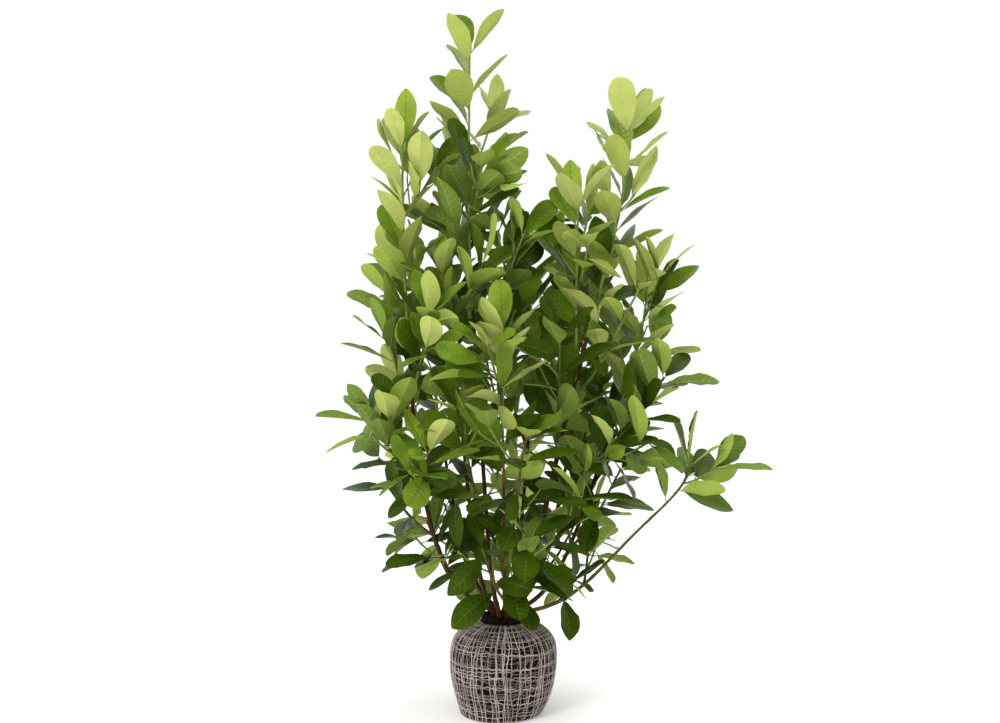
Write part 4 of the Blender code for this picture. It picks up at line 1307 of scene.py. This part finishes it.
def dark_soil(name, colour, cloth_colour):
    """Moist soil seen through thin jute. To the eye dark brown-black clods with taupe fibres on them.

    The clods are 17 mm wide, and the fibres are drawn 3 mm wide, coarser than real jute, so that they
    show from a step away.
    """
    material, add = new_material(name, roughness=0.95, ior=1.4, Specular_IOR_Level=0.15)
    place = add("TexCoord", output="Object")
    clods = add("TexNoise", {"Vector": place, "Scale": 60.0, "Detail": 6.0})
    fibres = add("TexNoise", {"Vector": place, "Scale": 330.0, "Detail": 4.0})
    cover = add("Math", [add("MapRange", [clods, 0.40, 0.66, 0.0, 0.75]), fibres], operation="MULTIPLY")
    body = add("Mix", {"Factor": cover, "A": colour, "B": cloth_colour}, "Result", data_type="RGBA")
    height = add("Math", [fibres, 0.4, clods], operation="MULTIPLY_ADD")
    return finished_material(material, body, height, strength=0.9, depth=0.003)


def twisted_string(name, colour, dirt_colour):
    """Cotton twine of twisted strands, soiled in places. To the eye an off-white with a faint spiral.

    A strand comes round every 3.8 mm, and the stains are 38 mm wide.
    """
    material, add = new_material(name, roughness=0.9, ior=1.45, Sheen_Weight=0.2)
    uv = add("UVMap", uv_map=UV_MAP)
    around, distance = add("SeparateXYZ", [uv], "X"), add("SeparateXYZ", [uv], "Y")
    spiral = add("Math", [distance, 260.0, around], operation="MULTIPLY_ADD")
    phase = add("Math", [spiral, math.pi], operation="MULTIPLY")
    strands = add("Math", [add("Math", [phase], operation="SINE")], operation="ABSOLUTE")
    soiled = add("TexNoise", {"Vector": add("TexCoord", output="Object"), "Scale": 26.0, "Detail": 4.0})
    stain = add("MapRange", [soiled, 0.42, 0.72, 0.0, 0.8])
    body = add("Mix", {"Factor": stain, "A": colour, "B": dirt_colour}, "Result", data_type="RGBA")
    return finished_material(material, body, strands, strength=0.7, depth=0.0004)


def wet_hessian(name, colour, thread_colour):
    """Hessian, damp and dark: a plain weave of coarse jute threads, with painted shade in its hollows and its
    standing threads painted lighter, as lit, in patches that also stand for wear.

    The threads are 2.1 mm apart along the roll, and 22 go round it. The worn and lit places are 11 mm wide.
    """
    material, add = new_material(name, roughness=0.95, ior=1.4, Specular_IOR_Level=0.2)
    uv = add("UVMap", uv_map=UV_MAP)
    threads = []
    for axis, count in (("X", 22), ("Y", 480)):
        phase = add("Math", [add("SeparateXYZ", [uv], axis), count * math.pi], operation="MULTIPLY")
        threads.append(add("Math", [add("Math", [phase], operation="SINE")], operation="ABSOLUTE"))
    weave = add("Math", threads, operation="MULTIPLY")
    worn_and_lit = add("TexNoise", {"Vector": add("TexCoord", output="Object"), "Scale": 90.0, "Detail": 4.0})
    # Painted light: the standing threads turn lighter, as lit, in patches of wear, and the hollows keep the
    # darker colour as painted shade.
    lit = add("Math", [weave, worn_and_lit], operation="MULTIPLY")
    body = add("Mix", {"Factor": lit, "A": colour, "B": thread_colour}, "Result", data_type="RGBA")
    return finished_material(material, body, weave, strength=0.8, depth=0.001)


def studio_paper(name, colour):
    """Seamless studio paper: matte, with a faint unevenness a third of a metre wide.

    A faint glow makes its far side pure white.
    """
    white = (1, 1, 1, 1)
    material, add = new_material(name, roughness=0.9, ior=1.4, Emission_Strength=0.05, Emission_Color=white)
    place = add("TexCoord", output="Object")
    grain = add("TexNoise", {"Vector": place, "Scale": 3.0, "Detail": 2.0})
    tones = {"Factor": grain, "A": shaded(colour, 0.985), "B": colour}
    return finished_material(material, add("Mix", tones, "Result", data_type="RGBA"))


def length_value(name, description, default):
    return FloatProperty(name=name, description=description, default=default, unit="LENGTH", precision=4)


def share_value(name, description, default):
    return FloatProperty(
        name=name, description=description, default=default, subtype="FACTOR", min=0, soft_max=1)


def count_value(name, description, default):
    return IntProperty(name=name, description=description, default=default, min=1)


def power_value(name, description, default):
    return FloatProperty(name=name, description=description, default=default, unit="POWER")


def colour_value(name, description, code):
    return FloatVectorProperty(
        name=name, description=description, default=from_hex(code), size=4, subtype="COLOR", min=0, max=1)


class LAUREL_PG_leaf(bpy.types.PropertyGroup):
    width: share_value("Width", "Blade width, as a share of the model's", 0.87)
    fold: share_value("Fold", "How far each half rises from the midrib", 0.21)
    wave: length_value("Wave", "How far the margin waves up and down", 0.0028)
    thickness: length_value("Thickness", "Thickness of the blade beside the midrib", 0.0007)
    vein_pairs: count_value("Vein pairs", "Side veins on each half of a leaf", 9)
    # The dark and green tints go mostly to leaves low down and inside the crown, so they carry painted shade
    # besides age; the fresh and lime tints go mostly high up and far out, so they carry painted light besides
    # youth.
    dark_upper: colour_value("Dark upper", "Upper side of the oldest leaves", "#334a05")
    # Painted shade: the oldest leaves' lower side is darker and greener than a real laurel underside, as an
    # underside in shade.
    dark_lower: colour_value("Dark lower", "Lower side of the oldest leaves", "#708835")
    green_upper: colour_value("Green upper", "Upper side of full-grown leaves", "#4e690f")
    # Partly painted shade: this lower side is darker and greener than age alone makes it, as an underside in
    # shade.
    green_lower: colour_value("Green lower", "Lower side of full-grown leaves", "#94a746")
    fresh_upper: colour_value("Fresh upper", "Upper side of this year's leaves", "#5f7a1c")
    fresh_lower: colour_value("Fresh lower", "Lower side of this year's leaves", "#a8b458")
    lime_upper: colour_value("Lime upper", "Upper side of the youngest leaves", "#7c932b")
    lime_lower: colour_value("Lime lower", "Lower side of the youngest leaves", "#b5bf68")
    upper_vein: colour_value("Upper vein", "Midrib and veins on the upper side", "#8ba04a")
    lower_vein: colour_value("Lower vein", "Midrib and veins on the lower side", "#bfc976")


class LAUREL_PG_bark(bpy.types.PropertyGroup):
    stem_sides: count_value("Stem sides", "Corners round a stem", 16)
    twig_sides: count_value("Twig sides", "Corners round a twig", 8)
    stem_spacing: length_value("Stem rings", "Distance between the rings of a stem", 0.005)
    twig_spacing: length_value("Twig rings", "Distance between the rings of a twig", 0.006)
    ridge: share_value("Ridges", "Height of the bark's ridges, as a share of the radius", 0.05)
    stem: colour_value("Stem bark", "Red-brown bark of the stems", "#462714")
    streak: colour_value("Streaks", "Pale streaks in the bark", "#684623")
    young_stem: colour_value("Young stem", "Olive bark of the low, young stems", "#5f5c30")
    brown_twig: colour_value("Brown twig", "Bark of the lower twigs", "#5b5425")
    green_twig: colour_value("Green twig", "Skin of the young twigs", "#808d43")


class LAUREL_PG_ball(bpy.types.PropertyGroup):
    upright_strings: count_value("Upright strings", "Strings from neck to foot", 82)
    level_strings: count_value("Level strings", "Strings round the ball", 21)
    string_radius: length_value("String radius", "Radius of the outer strings", 0.00085)
    under_radius: length_value("Under-string radius", "Radius of the strings of the inner layers", 0.0008)
    string_colour: colour_value("String", "Clean twine", "#c0b3ac")
    under_colour: colour_value("Under string", "Soiled twine of the inner layers", "#6a5c56")
    dirt: colour_value("Dirt", "Soil stain on the twine", "#6a5751")
    soil: colour_value("Soil", "Moist soil", "#0b0605")
    jute: colour_value("Jute", "Jute fibres over the soil", "#2d231f")
    # Painted shade: the hollows of the weave take this colour; the thread colour is the painted light on the
    # standing threads.
    hessian: colour_value("Hessian", "Damp hessian in its hollows", "#130b07")
    hessian_thread: colour_value("Hessian thread", "Damp hessian where its threads stand out", "#2b1b11")


class LAUREL_PG_stage(bpy.types.PropertyGroup):
    distance: length_value("Camera distance", "From the plant's axis to the camera", 3.0)
    eye_height: length_value("Camera height", "Height of the camera above the floor", 0.95)
    floor_half: length_value("Floor", "Half the side of the floor", 14.0)
    floor_colour: colour_value("Floor colour", "Seamless paper", "#fdfdfd")
    sky: share_value("Surroundings", "Strength of the even white light from all round", 1.0)
    key: power_value("Key light", "Power of the soft light in front", 60.0)
    fill: power_value("Top light", "Power of the soft light above", 45.0)


def age_and_light_of(leaf, share, shift):
    """How young a leaf looks, from about 0 to 1: more so high up, far out and near its shoot's tip. Height
    and reach also paint light and shade: low and inner leaves get darker tints as painted shade, high and
    outer ones lighter tints as painted light.
    """
    root = leaf.matrix.translation
    outer = min(math.hypot(root.x, root.y) / CROWN_HALF_WIDTH, 1)
    high = root.z / CAD_BOX[1].z
    return AGE_AND_LIGHT_BY_HEIGHT * high + AGE_BY_SHOOT * share + AGE_AND_LIGHT_BY_REACH * (outer - OUTER_FROM) + shift


def tinted_leaves():
    """The leaves of each tint, and the masses they belong to. A shoot's leaves share one random shift."""
    rng = random.Random(TINT_SEED)
    tints = {tint: [] for tint in TINT_LIMITS}
    masses = {tint: set() for tint in TINT_LIMITS}
    for shoot in growth()[1]:
        shift = SPRAY_SHIFT * rng.uniform(-1, 1) ** 3
        for share, leaf in shoot.leaves:
            age_and_light = age_and_light_of(leaf, share, shift + rng.uniform(-LEAF_SHIFT, LEAF_SHIFT))
            tint = next(name for name, limit in TINT_LIMITS.items() if age_and_light < limit)
            tints[tint].append(leaf)
            masses[tint].add("foliage_" + shoot.mass.name)
    return tints, masses


def dress(piece, slot, *nodes):
    """Puts a piece on the plant's one body, in place of model nodes. The slot is not used."""
    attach(piece, BODY)
    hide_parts(*nodes)


class LAUREL_OT_stems(bpy.types.Operator):
    """Bark-covered stems, one piece for each stem of the model"""
    bl_idname = "laurel.stems"
    bl_label = "Stems"

    def execute(self, context):
        looks = context.scene.laurel_bark
        bark = laurel_bark("red_brown_laurel_bark", looks.stem, looks.streak, streaks=0.55)
        young_bark = laurel_bark("olive_young_bark", looks.young_stem, looks.streak, streaks=0.3)
        rng = np.random.default_rng(STEM_BARK_SEED)
        for name, limb in growth()[0].items():
            knots = [mass.at for mass in MASSES if mass.stem == name and mass.at < 1]
            sheet = bark_tube(limb, looks.stem_sides, looks.stem_spacing, looks.ridge, knots, rng)
            cover = young_bark if name in YOUNG_STEMS else bark
            dress(finished_mesh("bark_" + name, [sheet], [cover]), "bark", name)
        return {"FINISHED"}


class LAUREL_OT_twigs(bpy.types.Operator):
    """Twigs of every mass: brown ones low in the crown, green ones above and at the ends"""
    bl_idname = "laurel.twigs"
    bl_label = "Twigs"

    def execute(self, context):
        looks = context.scene.laurel_bark
        stems, shoots = growth()
        rng = np.random.default_rng(TWIG_BARK_SEED)
        brown, green = [], []
        for mass, twig, kind, leaves in shoots:
            first = None
            if kind == "leading":
                root, direction, _, _ = along(stems[mass.stem], mass.at)
                first = root - direction * TWIG_ROOT if mass.at == 1 else root
            knots = [place for place, _ in leaves]
            sheet = bark_tube(twig, looks.twig_sides, looks.twig_spacing, looks.ridge / 2, knots, rng, first)
            low = kind == "leading" and twig.points[0].z < BROWN_TWIGS_BELOW
            (brown if low else green).append(sheet)
        nodes = ["foliage_" + mass.name for mass in MASSES]
        bark = laurel_bark("brown_twig_bark", looks.brown_twig, looks.streak, streaks=0.35)
        skin = laurel_bark("green_twig_skin", looks.green_twig, looks.streak, streaks=0.12)
        dress(finished_mesh("brown_twigs", brown, [bark]), "bark", *nodes)
        dress(finished_mesh("green_twigs", green, [skin]), "leaf", *nodes)
        return {"FINISHED"}


class LAUREL_OT_leaves(bpy.types.Operator):
    """All leaves, joined by their tint: dark, green, fresh and lime"""
    bl_idname = "laurel.leaves"
    bl_label = "Leaves"

    def execute(self, context):
        looks = context.scene.laurel_leaf
        tints, masses = tinted_leaves()
        rng = np.random.default_rng(BLADE_SEED)
        for tint, leaves in tints.items():
            upper = glossy_leaf(tint + "_waxy_upper_side", getattr(looks, tint + "_upper"), looks)
            lower = matte_leaf(tint + "_matte_lower_side", getattr(looks, tint + "_lower"), looks)
            piece = finished_mesh(tint + "_leaves", [blades(leaves, rng, looks)], [upper, lower])
            dress(piece, "leaf", *sorted(masses[tint]))
        return {"FINISHED"}


class LAUREL_OT_ball(bpy.types.Operator):
    """The soil ball in its jute, as a lumpy turned surface"""
    bl_idname = "laurel.ball"
    bl_label = "Soil ball"

    def execute(self, context):
        looks = context.scene.laurel_ball
        level = np.linspace(0, 1, SOIL_RINGS)[1:-1]
        turn = np.arange(SOIL_SIDES) * 2 * np.pi / SOIL_SIDES
        grid = ball_surface(turn[None, :], level[:, None], looks.string_radius * STRING_ROOM)
        soil = dark_soil("moist_soil_in_jute", looks.soil, looks.jute)
        dress(finished_mesh("soil_ball", [turned_sheet(grid)], [soil]), "netted_soil", "root_ball")
        return {"FINISHED"}


class LAUREL_OT_net(bpy.types.Operator):
    """The string net over the ball: an outer layer, and two sunk and soiled ones as one piece"""
    bl_idname = "laurel.net"
    bl_label = "String net"

    def execute(self, context):
        looks = context.scene.laurel_ball
        uprights, levels = looks.upright_strings, looks.level_strings
        layers = (
            Layer(uprights, levels, looks.string_radius, sunk=0.0, looseness=0.55, slanting=8),
            Layer(uprights // 2, levels, looks.under_radius, sunk=0.0006, looseness=1.2, slanting=16),
            Layer(uprights // 2, levels, looks.under_radius, sunk=0.0014, looseness=0.8, slanting=6),
        )
        rng = np.random.default_rng(NET_SEED)
        outer, middle, inner = [upright_strings(layer, rng) + level_strings(layer, rng) for layer in layers]
        clean = twisted_string("cotton_twine", looks.string_colour, looks.dirt)
        soiled = twisted_string("soiled_cotton_twine", looks.under_colour, looks.dirt)
        dress(finished_mesh("string_net", outer, [clean]), "netted_soil", "root_ball")
        dress(finished_mesh("under_net", middle + inner, [soiled]), "netted_soil", "root_ball")
        return {"FINISHED"}


class LAUREL_OT_collar(bpy.types.Operator):
    """The rolled, crumpled edge of the hessian round the foot of the stems"""
    bl_idname = "laurel.collar"
    bl_label = "Hessian collar"

    def execute(self, context):
        looks = context.scene.laurel_ball
        cloth = wet_hessian("damp_hessian", looks.hessian, looks.hessian_thread)
        dress(finished_mesh("hessian_roll", [rolled_cloth()], [cloth]), "hessian", "hessian_collar")
        return {"FINISHED"}


def floor_sheet(half):
    """A level square of quads whose side is twice the half."""
    side = np.linspace(-half, half, FLOOR_STEPS + 1)
    x, y = np.meshgrid(side, side, indexing="ij")
    points = np.stack([x, y, np.zeros_like(x)], axis=-1).reshape(-1, 3)
    quads, _, column = grid_faces(FLOOR_STEPS + 1, FLOOR_STEPS + 1)
    quads = quads[column.ravel() < FLOOR_STEPS][:, FLIPPED]
    return plain_sheet(points, quads, (points[:, :2] / half)[quads])


def stand(made, place, target):
    """Puts a light or a camera at a place, facing a target."""
    made.location = place
    made.rotation_euler = (Vector(target) - Vector(place)).to_track_quat("-Z", "Y").to_euler()
    bpy.context.scene.collection.objects.link(made)
    return made


def soft_light(name, place, target, width, power):
    """A large square lamp at a place, facing a target."""
    lamp = bpy.data.lights.new(name, "AREA")
    lamp.shape = "SQUARE"
    lamp.size = width
    lamp.energy = power
    return stand(bpy.data.objects.new(name, lamp), place, target)


class LAUREL_OT_stage(bpy.types.Operator):
    """The pale floor, the soft lights, the white surroundings and the camera"""
    bl_idname = "laurel.stage"
    bl_label = "Stage"

    def execute(self, context):
        looks = context.scene.laurel_stage
        paper = studio_paper("white_studio_paper", looks.floor_colour)
        finished_mesh("studio_floor", [floor_sheet(looks.floor_half)], [paper])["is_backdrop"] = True
        world = bpy.data.worlds.new("white_surroundings")
        world.use_nodes = True
        background = world.node_tree.nodes["Background"]
        background.inputs["Color"].default_value = (1, 1, 1, 1)
        background.inputs["Strength"].default_value = looks.sky
        context.scene.world = world
        soft_light("front_softbox", place=(-1.6, -2.6, 2.6), target=(0, 0, 0.8), width=1.3, power=looks.key)
        soft_light("top_softbox", place=(0.8, 0.4, 3.4), target=(0, 0, 0.6), width=2.4, power=looks.fill)
        context.scene.view_settings.view_transform = "Standard"
        lens = bpy.data.cameras.new("camera")
        lens.sensor_width = SENSOR_WIDTH
        lens.lens = SENSOR_WIDTH * looks.distance / (PHOTO_WIDTH * METRES_PER_PIXEL)
        aside = (PHOTO_WIDTH / 2 - AXIS_PIXEL) * METRES_PER_PIXEL
        aim_height = (FOOT_PIXEL_HEIGHT - PHOTO_HEIGHT / 2) * METRES_PER_PIXEL
        place, target = (aside, -looks.distance, looks.eye_height), (aside, 0, aim_height)
        context.scene.camera = stand(bpy.data.objects.new("camera", lens), place, target)
        return {"FINISHED"}


OPERATORS = (
    LAUREL_OT_stems,
    LAUREL_OT_twigs,
    LAUREL_OT_leaves,
    LAUREL_OT_ball,
    LAUREL_OT_net,
    LAUREL_OT_collar,
    LAUREL_OT_stage,
)
GROUPS = {
    "laurel_leaf": LAUREL_PG_leaf,
    "laurel_bark": LAUREL_PG_bark,
    "laurel_ball": LAUREL_PG_ball,
    "laurel_stage": LAUREL_PG_stage,
}


class LAUREL_PT_shrub(bpy.types.Panel):
    """The shrub's sizes and colours, and a button for each group of pieces"""
    bl_idname = "LAUREL_PT_shrub"
    bl_label = "Cherry laurel"
    bl_space_type = "VIEW_3D"
    bl_region_type = "UI"
    bl_category = "Laurel"

    def draw(self, context):
        for operator in OPERATORS:
            self.layout.operator(operator.bl_idname)
        for name, group in GROUPS.items():
            box = self.layout.box()
            for key in group.__annotations__:
                box.prop(getattr(context.scene, name), key)


def register():
    for group in GROUPS.values():
        bpy.utils.register_class(group)
    for operator in OPERATORS:
        bpy.utils.register_class(operator)
    bpy.utils.register_class(LAUREL_PT_shrub)
    for name, group in GROUPS.items():
        setattr(bpy.types.Scene, name, PointerProperty(type=group))


def unregister():
    for name in GROUPS:
        delattr(bpy.types.Scene, name)
    bpy.utils.unregister_class(LAUREL_PT_shrub)
    for operator in reversed(OPERATORS):
        bpy.utils.unregister_class(operator)
    for group in reversed(list(GROUPS.values())):
        bpy.utils.unregister_class(group)


def write_sizes():
    """Works out the model's box and the dressed plant's, each as a lowest and a highest corner, and writes
    neither.
    """
    boxes = {"cad": CAD_BOX, "visual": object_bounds()}
    sizes = {name: [list(corner) for corner in box] for name, box in boxes.items()}


def main():
    register()
    for operator in OPERATORS:
        group, name = operator.bl_idname.split(".")
        getattr(getattr(bpy.ops, group), name)()
    write_sizes()


if __name__ == "__main__":
    main()
